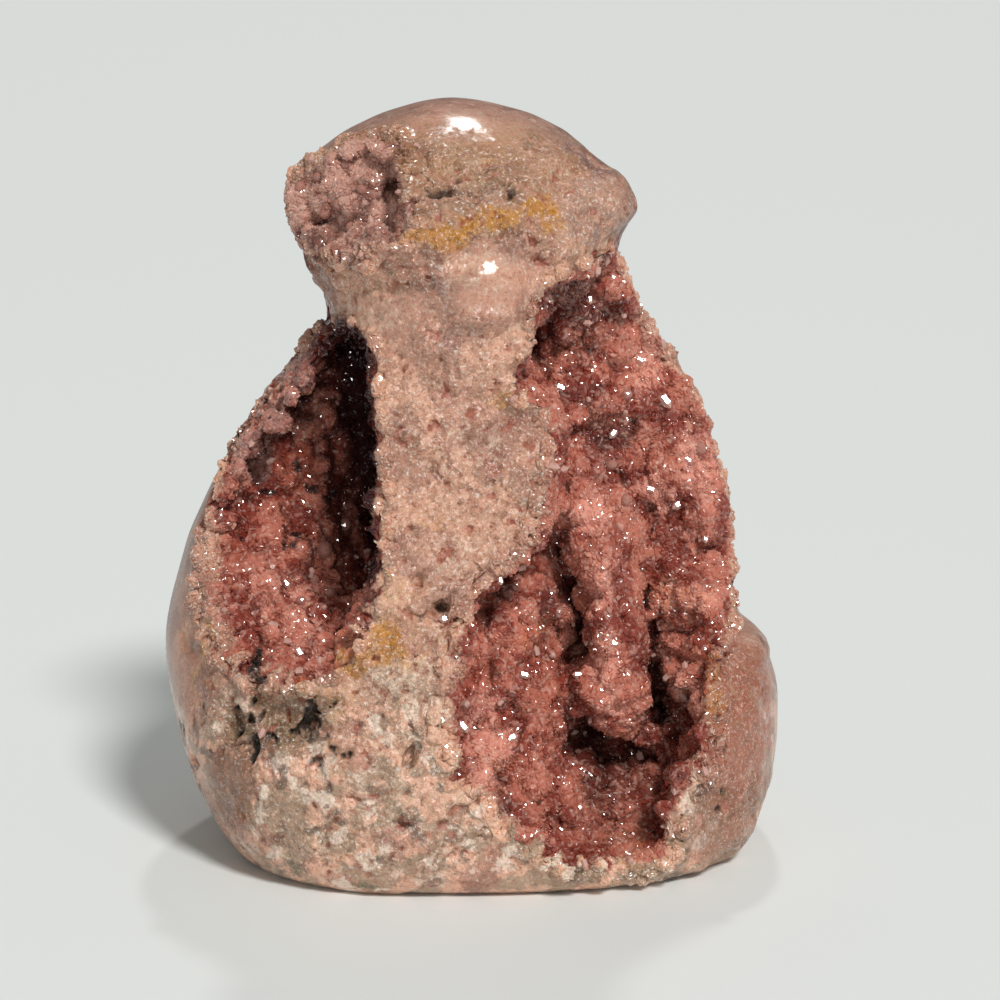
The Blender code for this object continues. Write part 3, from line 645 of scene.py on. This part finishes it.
def lumpy_crust(node, name, seed, lump, lump_height, edge_reach, flank_calm, flank_fill):
    """A crust's even skin with its edge knobs, swollen into round lumps of three sizes."""
    crust = even_skin(with_knobs(node, name, seed), CRUST_VOXEL, 5)
    points = points_of(crust)
    back = hidden_by(stone_tree, crust, BACK_REACH)
    edge, front, gaps = edge_share(points, edge_band(tree_of(node), LIP_REACH), edge_reach)
    seen = back < 1
    large, middle, small = (
        measured(domes, points, seen, lump * size, shift) for size, shift in LUMPS
    )
    heights = (large - 0.6) * lump_height + (middle - 0.55) * lump_height * 0.3
    heights += (small - 0.5) * lump_height * 0.2
    heights += measured(waves, points, seen, lump * 0.6, 7.0, 4) * lump_height * 0.2
    cut = edge * front
    lip = (1 - soft_step(gaps, 1.0, 4.5)) * (1 - front)
    slope = soft_step(gaps, 1.5, 3.5) * (1 - soft_step(gaps, 5.0, 9.0)) * (1 - front)
    # The crust under the painted shadow is flattened and sunk a little.
    painted_shadow = covered(points, STAINS["painted_shadow"])
    heights *= (1 - cut) * (1 - flank_calm * lip) * (1 - 0.7 * painted_shadow)
    heights += measured(knobby, points, seen & (cut > 0)) * cut - lip * LIP_DROP
    heights += slope * flank_fill - painted_shadow * (1 - front) * 0.7
    keep_values(crust, "lump", large * 0.6 + middle * 0.3 + small * 0.1)
    keep_values(crust, "edge", cut)
    keep_values(crust, "front", front)
    displace(crust, heights * (1 - back) + SEAM_FILL * back)
    print(name, triangle_count(crust), "triangles, hidden share", round(back.mean(), 2))
    return crust, back


def thin_crust(crust, back, triangles):
    """Thins a crust out to large triangles, and its hidden back most of all."""
    thin = crust.modifiers.new("thin", "DECIMATE")
    thin.ratio = triangles / triangle_count(crust)
    thin.use_collapse_triangulate = True
    thin.vertex_group = weigh(crust, "hidden", np.clip(back + 0.1, 0, 1))
    thin.vertex_group_factor = 0.1
    return settle(crust)


# %% How open each place is
def sky_directions(count):
    """Directions spread evenly over a ball, on a spiral."""
    steps = np.arange(count) + 0.5
    up = 1 - 2 * steps / count
    turn = np.pi * (1 + 5**0.5) * steps
    level = np.sqrt(1 - up**2)
    return [Vector(way) for way in zip(level * np.cos(turn), level * np.sin(turn), up)]


def openness(obj, count=56, off=2.2, reach=70.0):
    """The share of what each point faces that isn't hidden by another part of the object."""
    rays = sky_directions(count)
    share = np.zeros(len(obj.data.vertices))
    for index, (point, way) in enumerate(zip(points_of(obj), directions_of(obj))):
        way = Vector(way)
        start = Vector(point) + way * off * MM
        total = seen = 0.001
        for ray in rays:
            lean = ray.dot(way)
            if lean > 0.15:
                total += lean
                if whole_tree.ray_cast(start, ray, reach * MM)[0] is None:
                    seen += lean
        share[index] = seen / total
    return share


# %% A crust's crystals
def crystal_cells(bm, open_corners):
    """Turns the triangles round the open corners, and the corners themselves, into cells."""
    bmesh.ops.bevel(
        bm, geom=open_corners, affect="VERTICES", offset_type="PERCENT", offset=33,
        segments=1, profile=0.5, material=-1,
    )
    return [face for face in bm.faces if len(face.verts) > 3]


def grow_crystals(obj, seed, lean=0.1, flat_share=0.14):
    """Gives each open cell of a crust a crystal: mostly a low point, now and then a flat top."""
    pick = random.Random(seed)
    skin_points = point_finder(points_of(obj))
    skin_values = {"open": openness(obj)}
    for name in ("lump", "edge", "front"):
        layer = obj.data.attributes[name]
        skin_values[name] = np.array([item.value for item in layer.data])
        obj.data.attributes.remove(layer)
    bm = bmesh.new()
    bm.from_mesh(obj.data)
    tip, tint = bm.verts.layers.float.new("tip"), bm.faces.layers.float.new("tint")
    open_corners = [
        vert for vert in bm.verts if stone_tree.find_nearest(vert.co)[3] > 0.9 * MM
    ]
    cells = crystal_cells(bm, open_corners)
    for cell in cells:
        cell[tint] = pick.random()
    is_flat = [pick.random() < flat_share for cell in cells]
    flats = [cell for cell, flat in zip(cells, is_flat) if flat]
    pointed = [cell for cell, flat in zip(cells, is_flat) if not flat]
    bmesh.ops.inset_individual(
        bm, faces=flats, thickness=0.12, use_relative_offset=True, use_even_offset=False
    )
    bm.normal_update()
    for flat in flats:
        size = flat.calc_area() ** 0.5
        rise = flat.normal * size * pick.uniform(0.2, 0.7)
        tilt = Vector([pick.gauss(0, 0.25) for axis in range(3)])
        middle = flat.calc_center_median()
        for vert in flat.verts:
            vert.co += rise + flat.normal * (vert.co - middle).dot(tilt)
            vert[tip] = 0.6
    bm.normal_update()
    ways = []
    for cell in pointed:
        across = Vector([pick.gauss(0, lean) for axis in range(3)])
        ways.append((cell.normal * pick.uniform(0.15, 0.5) + across) * cell.calc_area() ** 0.5)
    for vert, way in zip(bmesh.ops.poke(bm, faces=pointed)["verts"], ways):
        vert.co += way
        vert[tip] = 1.0
    bm.to_mesh(obj.data)
    bm.free()
    nearest = [skin_points.find(Vector(point))[1] for point in points_of(obj)]
    for name, values in skin_values.items():
        keep_values(obj, name, values[nearest])
    print(obj.name, len(cells), "crystals,", triangle_count(obj), "triangles")


def druze(node, name, seed, lump, lump_height, triangles, edge=(3.6, 0.4, 0.0)):
    """A finished crust; edge holds its edge's reach, and how its flank is calmed and filled."""
    crust, back = lumpy_crust(node, name, seed, lump, lump_height, *edge)
    thin_crust(crust, back, triangles)
    grow_crystals(crust, seed)
    keep_values(crust, "rough", np.ones(len(crust.data.vertices)))
    stain(crust, 1.0)
    return crust


right_crust = druze("right_hollow_crystals", "right_hollow_druze", 1, 7.5, 2.6, 20400)
left_crust = druze(
    "left_hollow_crystals", "left_hollow_druze", 2, 7.0, 2.4, 14000, (6.0, 0.9, -0.9)
)
head_crust = druze("head_pocket_crystals", "head_pocket_druze", 3, 4.6, 1.6, 3000)

# %% [markdown]
# ## Larger crystals
#
# Here and there a single quartz crystal outgrew the rest: a clear six-sided point, or a round,
# milky one. Most of them stand on the crust at random. The ones that flash are turned so that one
# of their faces sends the key light to the eye, as a mirror would: a face does so when its
# direction lies halfway between the light and the eye.

# %% Quartz points and rounds
CAMERA_ELEVATION = 12.0
KEY_LIGHT = (28.0, 47.0)  # where the key light comes from: degrees to the right, and up
FLASHES = [  # x, z and size in mm, in the front view, of the crystals that flash
    (31.0, 71.7, 1.9), (14.0, 75.1, 1.4), (22.6, 66.8, 1.3), (28.8, 57.3, 1.3), (33.1, 55.4, 1.6),
    (-17.6, 45.2, 1.2), (-1.1, 26.4, 1.5), (6.3, 22.8, 1.5), (8.3, 32.2, 1.3), (16.8, 30.6, 1.2),
    (17.4, 6.1, 1.2), (37.4, 50.3, 1.2), (27.3, 14.4, 1.4), (31.5, 16.3, 1.6), (17.3, 44.2, 1.0),
    (22.4, 36.2, 1.0), (18.6, 88.8, 1.0), (26.9, 78.3, 1.1), (34.8, 62.1, 1.1), (-31.8, 25.3, 1.3),
    (-29.6, 43.6, 1.2), (-26.4, 36.3, 1.3), (19.7, 81.4, 0.9), (-3.7, 43.7, 1.4), (4.6, 49.2, 1.0),
]
ROUNDS = [  # x, z and size in mm of the round, milky crystals
    (-23.8, 47.5, 2.8), (-21.0, 50.6, 2.1), (-25.6, 43.2, 1.9), (-27.2, 41.4, 1.7),
    (-22.7, 42.0, 1.9), (-23.5, 107.9, 1.7), (-19.2, 110.1, 1.9), (-16.5, 106.5, 1.7),
    (-20.2, 104.2, 1.8), (-22.3, 102.5, 1.6), (-18.3, 100.9, 1.6), (-26.4, 106.3, 1.6),
    (22.1, 62.3, 1.9), (24.2, 58.0, 1.8), (24.9, 73.2, 1.8), (36.9, 63.5, 2.2), (14.1, 39.8, 1.7),
]


def towards(azimuth, elevation):
    """The direction to something: azimuth 0 is the front and 90 the right, in degrees."""
    turn, rise = np.radians(azimuth), np.radians(elevation)
    return Vector((np.sin(turn) * np.cos(rise), -np.cos(turn) * np.cos(rise), np.sin(rise)))


TO_EYE = towards(0.0, CAMERA_ELEVATION)
FLASH_WAY = (TO_EYE + towards(*KEY_LIGHT)).normalized()


def seen_from_front(x, z):
    """The place and the direction of the frontmost surface at x and z."""
    start = Vector((x, -90.0, z)) * MM
    hits = [tree.ray_cast(start, Vector((0, 1, 0)))[:2] for tree in skin_trees]
    return min((hit for hit in hits if hit[0]), key=lambda hit: hit[0].y)


def quartz_point(bm, place, size, axis, face_way=None):
    """A six-sided prism with a pointed end; face_way is the direction of one of its sides."""
    side = face_way or axis.orthogonal()
    side = (side - axis * side.dot(axis)).normalized()
    other = axis.cross(side)
    rings = []
    for height, width in ((-0.5, 0.5), (0.45, 0.5), (0.9, 0.06)):
        ring = []
        for corner in range(6):
            turn = np.radians(60 * corner + 30)
            across = side * np.cos(turn) + other * np.sin(turn)
            ring.append(bm.verts.new(place + (axis * height + across * width) * size * MM))
        rings.append(ring)
    for low, high in zip(rings, rings[1:]):
        for corner in range(6):
            after = (corner + 1) % 6
            bm.faces.new((low[corner], low[after], high[after], high[corner]))
    bm.faces.new(rings[-1])
    bm.faces.new(rings[0][::-1])


skin_trees = [tree_from(skin.data) for skin in (stone, right_crust, left_crust, head_crust)]


def large_crystals(name, count, seed):
    """The crystals that flash, and others scattered over the crusts."""
    pick = random.Random(seed)
    bm = bmesh.new()
    for x, z, size in FLASHES:
        place, way = seen_from_front(x, z)
        axis = (way - FLASH_WAY * way.dot(FLASH_WAY) * 0.999).normalized()
        quartz_point(bm, place + FLASH_WAY * size * 0.1 * MM, size * 0.85, axis, FLASH_WAY)
    for crust, share in ((right_crust, 0.55), (left_crust, 0.3), (head_crust, 0.15)):
        tips = crust.data.attributes["tip"].data
        corners = [vert for vert, tip in zip(crust.data.vertices, tips) if tip.value]
        for vert in pick.sample(corners, int(count * share)):
            lean = Vector([pick.gauss(0, 0.5) for axis in range(3)])
            axis = (vert.normal + lean).normalized()
            quartz_point(bm, vert.co.copy(), pick.uniform(0.6, 1.2), axis)
    return new_object(name, bm)


def round_crystals(name, seed):
    pick = random.Random(seed)
    bm = bmesh.new()
    for x, z, size in ROUNDS:
        place, way = seen_from_front(x, z)
        turn = Matrix.Rotation(pick.uniform(0, 3), 4, way)
        squash = Matrix.Diagonal((1.0, 1.0, 0.85, 1.0))
        place = Matrix.Translation(place - way * size * 0.15 * MM) @ turn @ squash
        bmesh.ops.create_icosphere(bm, subdivisions=2, radius=size * 0.58 * MM, matrix=place)
    return new_object(name, bm)


points_piece = large_crystals("quartz_points", 100, 11)
rounds_piece = round_crystals("milky_rounds", 12)
print("quartz points:", len(points_piece.data.polygons) // 14, "and milky rounds:", len(ROUNDS))

# %% [markdown]
# ## Sums with sockets
#
# A shader's noise, masks and steps are numbers on sockets, and its Math nodes add and multiply
# them. The small class below lets Python write those nodes: a + b on two sockets adds a Math node
# and gives back its output, and 1 - mask works too. Colours never go through it, as a Math node
# would turn them grey.

# %% The socket and the recipe
class Number:
    """A number on a shader's socket, which Python can do sums with."""

    def __init__(self, recipe, socket):
        self.recipe = recipe
        self.socket = socket

    def math(self, operation, *others):
        values = dict(enumerate([self, *others]))
        return self.recipe.add("ShaderNodeMath", {"operation": operation}, values)

    def __add__(self, other):
        return self.math("ADD", other)

    def __sub__(self, other):
        return self.math("SUBTRACT", other)

    def __rsub__(self, other):
        return self.recipe.add("ShaderNodeMath", {"operation": "SUBTRACT"}, {0: other, 1: self})

    def __mul__(self, other):
        return self.math("MULTIPLY", other)

    __radd__ = __add__
    __rmul__ = __mul__

    def step(self, low, high):
        """0 under low, 1 over high, with a smooth rise between."""
        settings = {"interpolation_type": "SMOOTHSTEP"}
        return self.recipe.add("ShaderNodeMapRange", settings, {0: self, 1: low, 2: high})

    def most(self, other):
        return self.math("MAXIMUM", other)


class Recipe:
    """A material and the one way that its nodes are added."""

    def __init__(self, name):
        self.material = bpy.data.materials.new(name)
        self.material.use_nodes = True
        self.tree = self.material.node_tree
        self.shader = self.tree.nodes["Principled BSDF"]
        self.place = self.add("ShaderNodeTexCoord", output="Object")
        self.made = {}

    def add(self, kind, settings=None, values=None, output=0):
        node = self.tree.nodes.new(kind)
        for name, value in (settings or {}).items():
            setattr(node, name, value)
        for name, value in (values or {}).items():
            self.join(node.inputs[name], value)
        return Number(self, node.outputs[output])

    def join(self, socket, value):
        if isinstance(value, Number):
            self.tree.links.new(value.socket, socket)
        elif socket.type == "RGBA":
            socket.default_value = (*value, 1.0)
        else:
            socket.default_value = value

    def clouds(self, size, detail=3.0, roughness=0.6, warp=0.0):
        """Noise from 0 to 1 with features about so many millimetres wide, made once and shared."""
        key = (size, detail, roughness, warp)
        if key not in self.made:
            values = {"Vector": self.place, "Scale": 1.0 / (size * MM), "Detail": detail}
            values.update({"Roughness": roughness, "Distortion": warp})
            self.made[key] = self.add("ShaderNodeTexNoise", None, values)
        return self.made[key]

    def facets(self, size):
        """Heights of flat facets about so many millimetres wide, each with its own random lean."""
        values = {"Vector": self.place, "Scale": 1.0 / (size * MM)}
        across = self.add("ShaderNodeTexVoronoi", {"feature": "F1"}, values, "Position")
        lean = Number(self, across.socket.node.outputs["Color"])
        kind, minus = "ShaderNodeVectorMath", {"operation": "SUBTRACT"}
        away = self.add(kind, minus, {0: self.place, 1: across})
        middle = self.add(kind, minus, {0: lean, 1: (0.5,) * 3})
        return self.add(kind, {"operation": "DOT_PRODUCT"}, {0: away, 1: middle}, 1)

    def kept(self, name):
        """A number that the mesh holds for each point."""
        return self.add("ShaderNodeAttribute", {"attribute_name": name}, None, "Fac")

    def mix(self, mask, first, second):
        """A colour that goes from the first to the second as the mask goes from 0 to 1."""
        values = {0: mask, 6: first, 7: second}
        return self.add("ShaderNodeMix", {"data_type": "RGBA"}, values, 2)

    def bump(self, height, strength, depth):
        values = {"Height": height, "Strength": strength, "Distance": depth * MM}
        return self.add("ShaderNodeBump", None, values)

    def finish(self, **values):
        """Sets the shader's sockets; a socket's name is written with underscores."""
        for name, value in values.items():
            self.join(self.shader.inputs[name.replace("_", " ")], value)
        return self.material


# %% The colours of the minerals
ROSE, SALMON, DUSK = (0.56, 0.29, 0.20), (0.68, 0.37, 0.25), (0.19, 0.075, 0.055)
OCHRE, KHAKI, CREAM_AND_PAINTED_LIGHT = (0.56, 0.24, 0.03), (0.18, 0.095, 0.035), (0.78, 0.58, 0.42)
BRICK, MAUVE, GREEN = (0.38, 0.09, 0.05), (0.42, 0.25, 0.21), (0.10, 0.10, 0.04)
BLACK_MARK, GREY, FLESH = (0.02, 0.014, 0.012), (0.42, 0.30, 0.20), (0.84, 0.47, 0.32)
PALE, DARK = (0.86, 0.68, 0.55), (0.13, 0.08, 0.05)
DEEP_RED, BRIGHT_RED, PAINTED_LIGHT = (0.25, 0.05, 0.033), (0.51, 0.17, 0.115), (0.80, 0.36, 0.27)
RUST_AND_SHADE, VEIN, PAINTED_SHADOW = (0.23, 0.085, 0.05), (0.62, 0.34, 0.08), (0.050, 0.014, 0.013)
TAN, UMBER_AND_SHADE, CREVICE_BROWN = (0.42, 0.23, 0.12), (0.20, 0.08, 0.04), (0.035, 0.02, 0.012)
PALE_FLECK, DARK_FLECK = (0.88, 0.68, 0.54), (0.26, 0.09, 0.055)
PALE_SPECK_AND_GLINT, DARK_SPECK = (0.96, 0.88, 0.80), (0.24, 0.08, 0.045)
PALE_CRYSTAL, DEEP_SHADE = (0.84, 0.56, 0.46), (0.06, 0.012, 0.01)
DUSKY_DEEP, DUSKY_BRIGHT = (0.34, 0.15, 0.11), (0.60, 0.33, 0.26)

# Clouds of colour: the name of a kept pattern, a colour, where it starts and how strong it is.
ROSE_CLOUDS = (("salmon", SALMON, -0.2, 1.0), ("dusk", DUSK, 0.1, 0.45))
BACK_CLOUDS = (
    ("salmon", (0.40, 0.18, 0.12), -0.15, 0.6), ("grey", (0.33, 0.19, 0.13), 0.0, 0.6),
    ("flesh", (0.52, 0.27, 0.19), 0.15, 0.55), ("dark", (0.09, 0.035, 0.025), 0.25, 0.6),
)
BASE_CLOUDS = (
    ("grey", GREY, -0.35, 0.75), ("flesh", FLESH, 0.0, 0.85), ("pale", PALE, 0.22, 0.85),
    ("dark", DARK, 0.32, 0.8),
)
# Patches: the name of a kept cover, a colour and how strong it is.
# Cream holds painted light below the brow, and rust and umber hold painted shade on the left flank.
STONE_PATCHES = (
    ("tan", TAN, 0.85), ("cream_and_painted_light", CREAM_AND_PAINTED_LIGHT, 0.75), ("khaki", KHAKI, 0.9), ("mauve", MAUVE, 0.6),
    ("rust_and_shade", RUST_AND_SHADE, 0.75), ("umber_and_shade", UMBER_AND_SHADE, 0.8), ("brick", BRICK, 0.8), ("green", GREEN, 0.9),
    ("vein", VEIN, 0.9),
)
# The crust's painted light and painted shade are laid on as patches too.
DRUZE_PATCHES = (
    ("painted_light", PAINTED_LIGHT, 0.9), ("shade", (0.070, 0.016, 0.012), 0.9), ("mauve", MAUVE, 0.6),
    ("cream_and_painted_light", (0.62, 0.40, 0.32), 0.7), ("ochre", (0.66, 0.22, 0.08), 0.7),
    ("brick", (0.30, 0.05, 0.025), 0.7),
)


def stained(recipe, colour, patches, ragged):
    """Lays patches over a colour, with edges that the noise makes ragged."""
    for mineral, tone, most in patches:
        cover = (recipe.kept(mineral) + ragged * 2.4).step(1.5, 2.4) * most
        colour = recipe.mix(cover, colour, tone)
    return colour


def clouded(recipe, colour, clouds, ragged, share=1.0):
    """Mixes in clouds of colour, which the mesh holds and the noise roughens."""
    for name, tone, low, most in clouds:
        cover = (recipe.kept(name) + (ragged - 0.5) * 1.6).step(low, low + 0.25)
        colour = recipe.mix(cover * most * share, colour, tone)
    return colour


def ragged_noise(recipe):
    return recipe.clouds(1.5, 5.0, 0.75, 0.6)


def stone_colour(recipe):
    """Rose and salmon quartz with dusky clouds, flecks, grains and the mineral patches, with
    painted shade on the sides and pale specks that are partly painted glints.
    """
    ragged = ragged_noise(recipe)
    colour = clouded(recipe, ROSE, ROSE_CLOUDS, ragged)
    # Painted shade: the sides and the back are darkened towards dusk, and get clouds of their own.
    away = 1 - recipe.kept("front")
    colour = recipe.mix(away * 0.85, colour, DUSK)
    colour = clouded(recipe, colour, BACK_CLOUDS, ragged, away)
    at_base = recipe.kept("mixture") * (1 - away * 0.55)
    colour = clouded(recipe, colour, BASE_CLOUDS, ragged, at_base)
    colour = stained(recipe, colour, STONE_PATCHES, ragged)
    colour = recipe.mix(ragged.step(0.52, 0.70) * 0.4, colour, PALE_FLECK)
    colour = recipe.mix((1 - ragged).step(0.54, 0.70) * 0.5, colour, DARK_FLECK)
    colour = stained(recipe, colour, (("ochre", OCHRE, 0.95),), ragged)
    # Pale specks, strongest where the stone is rough, are white grains and painted glints in one.
    specks = recipe.clouds(0.5, 2.0, 0.8)
    strength = recipe.kept("rough") * 0.55 + 0.1
    colour = recipe.mix(specks.step(0.56, 0.68) * strength, colour, PALE_SPECK_AND_GLINT)
    return recipe.mix((1 - specks).step(0.56, 0.68) * 0.5, colour, DARK_SPECK)


print("kinds of patch: stone", len(STONE_PATCHES), "and crust", len(DRUZE_PATCHES))

# %% The polished stone's material
FACET_RELIEF = 1400.0  # how strongly the facets of cut grains turn the stone's surface
LEAST_ROUGH = 0.006  # how much of them is left where the stone is well polished


def polished_stone():
    recipe = Recipe("polished stone")
    colour = stone_colour(recipe)
    colour = recipe.mix(recipe.kept("flank_edge").step(0.1, 0.8) * 0.8, colour, DEEP_RED)
    colour = recipe.mix(recipe.kept("seam").step(0.1, 0.9) * 0.7, colour, BRICK)
    colour = recipe.mix(recipe.kept("crevice").step(0.15, 0.7), colour, CREVICE_BROWN)
    colour = stained(recipe, colour, (("black_marks", BLACK_MARK, 1.0),), ragged_noise(recipe))
    rough = recipe.kept("rough")
    roughness = ragged_noise(recipe) * 0.15 + recipe.kept("seam") * 0.2 + 0.05
    roughness = roughness + (1 - recipe.kept("front")) * 0.2
    height = recipe.facets(0.7) * FACET_RELIEF + recipe.clouds(0.5, 2.0, 0.8) * 0.4
    normal = recipe.bump(height * rough.most(LEAST_ROUGH), 1.0, 1.0)
    recipe.finish(Base_Color=colour, Roughness=roughness, Normal=normal)
    return recipe.finish(IOR=1.5, Subsurface_Weight=0.2, Subsurface_Scale=1.5 * MM)


# %% The crystals' materials
def crystal_crust(name, deep, bright):
    """Glassy crystals, lighter on the lumps and darker between them as painted light and shade,
    with the mineral patches, painted shade in deep places and a painted shadow by the column.
    """
    recipe = Recipe(name)
    ragged = ragged_noise(recipe)
    colour = clouded(recipe, deep, (("dusk", bright, -0.2, 1.0),), ragged)
    # Painted light and shade: the crust is lighter on its lumps and a darker red between them.
    colour = recipe.mix(recipe.kept("lump").step(0.36, 0.78), deep, colour)
    colour = stained(recipe, colour, DRUZE_PATCHES, ragged)
    colour = recipe.mix(recipe.kept("tint").step(0.6, 1.0) * 0.3, colour, PALE_CRYSTAL)
    edge = (recipe.kept("edge") + (ragged - 0.5) * 0.8).step(0.25, 0.85)
    colour = recipe.mix(edge, colour, stone_colour(recipe))
    # Painted shade: a crystal that the rest of the stone hides from most directions is darkened
    # towards near black.
    dark = 1 - recipe.kept("open").step(0.02, 0.28)
    colour = recipe.mix(dark * 0.85, colour, DEEP_SHADE)
    colour = stained(recipe, colour, (("black_marks", BLACK_MARK, 1.0),), ragged)
    # Painted shadow: the crust by the column's left edge is painted near black, as the column
    # shades it.
    unlit = (recipe.kept("painted_shadow") + (ragged - 0.5) * 0.3).step(0.25, 0.7)
    colour = recipe.mix(unlit, colour, PAINTED_SHADOW)
    normal = recipe.bump(recipe.facets(0.6), 0.7, 1000.0)
    recipe.finish(Base_Color=colour, Roughness=0.08, IOR=1.6, Normal=normal)
    recipe.finish(Subsurface_Weight=0.35, Subsurface_Scale=1.8 * MM)
    return recipe.finish(Subsurface_Radius=(1.0, 0.35, 0.25))


def quartz(name, colour, roughness, clear):
    """Single crystals; clear is the share of the light that passes through."""
    recipe = Recipe(name)
    recipe.finish(Base_Color=colour, Roughness=roughness, IOR=1.55)
    return recipe.finish(Transmission_Weight=clear)


# %% The pieces in their materials
def dress(obj, material, node=None):
    obj.data.materials.clear()
    obj.data.materials.append(material)
    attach(obj, "root")
    if node:
        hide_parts(node)


dress(stone, polished_stone(), "polished_stone")
red_druze = crystal_crust("red druze", DEEP_RED, BRIGHT_RED)
dress(right_crust, red_druze, "right_hollow_crystals")
dress(left_crust, red_druze, "left_hollow_crystals")
dusky_druze = crystal_crust("dusky druze", DUSKY_DEEP, DUSKY_BRIGHT)
dress(head_crust, dusky_druze, "head_pocket_crystals")
clear_quartz = quartz("clear quartz", (0.80, 0.48, 0.40), 0.04, 0.35)
milky_quartz = quartz("milky quartz", (0.58, 0.27, 0.21), 0.10, 0.4)
dress(points_piece, clear_quartz)
dress(rounds_piece, milky_quartz)
print("materials, with the CAD model's own:", len(bpy.data.materials))

# %% [markdown]
# ## Floor, light and camera
#
# A plain pale floor runs past the camera's view on all sides. A weak light high at the back, a
# wide key light at the front right and a weak one by the camera make soft shadows and let single
# facets flash.

# %% The floor and the world
FLOOR_SIZE = 60.0  # half the floor's width, in metres
ROOM, ROOM_STRENGTH = (0.93, 0.97, 0.95, 1.0), 0.235


def floor_sheet():
    bm = bmesh.new()
    bmesh.ops.create_grid(bm, x_segments=1, y_segments=1, size=FLOOR_SIZE)
    floor = new_object("floor", bm)
    recipe = Recipe("pale floor")
    floor.data.materials.append(recipe.finish(Base_Color=(0.80, 0.82, 0.80), Roughness=0.6))


def pale_world():
    world = bpy.data.worlds.new("pale room")
    world.use_nodes = True
    background = world.node_tree.nodes["Background"]
    background.inputs["Color"].default_value = ROOM
    background.inputs["Strength"].default_value = ROOM_STRENGTH
    bpy.context.scene.world = world


floor_sheet()
pale_world()
print("floor and room are ready")

# %% The lights and the camera
def sun(name, azimuth, elevation, width, strength):
    """A light from far away, of a width in degrees."""
    light = bpy.data.lights.new(name, "SUN")
    light.angle = np.radians(width)
    light.energy = strength
    obj = bpy.data.objects.new(name, light)
    obj.rotation_euler = towards(azimuth, elevation).to_track_quat("Z", "Y").to_euler()
    bpy.context.scene.collection.objects.link(obj)


sun("overhead", 176.0, 55.0, 4.0, 0.4)
sun("key", *KEY_LIGHT, 12.0, 2.5)
sun("front", 4.0, 15.0, 8.0, 0.35)

CAMERA_TARGET = Vector((4.55, 1.05, 55.1)) * MM
CAMERA_DISTANCE = 400 * MM
CAMERA_LENS, CAMERA_SENSOR = 88.6, 36.0

camera = bpy.data.objects.new("camera", bpy.data.cameras.new("camera"))
camera.data.lens = CAMERA_LENS
camera.data.sensor_width = CAMERA_SENSOR
camera.data.clip_start = 0.01
camera.location = CAMERA_TARGET + TO_EYE * CAMERA_DISTANCE
camera.rotation_euler = (-TO_EYE).to_track_quat("-Z", "Y").to_euler()
bpy.context.scene.collection.objects.link(camera)
bpy.context.scene.camera = camera
bpy.context.scene.view_settings.view_transform = "Standard"
print("camera at", [round(value, 3) for value in camera.location], "m")
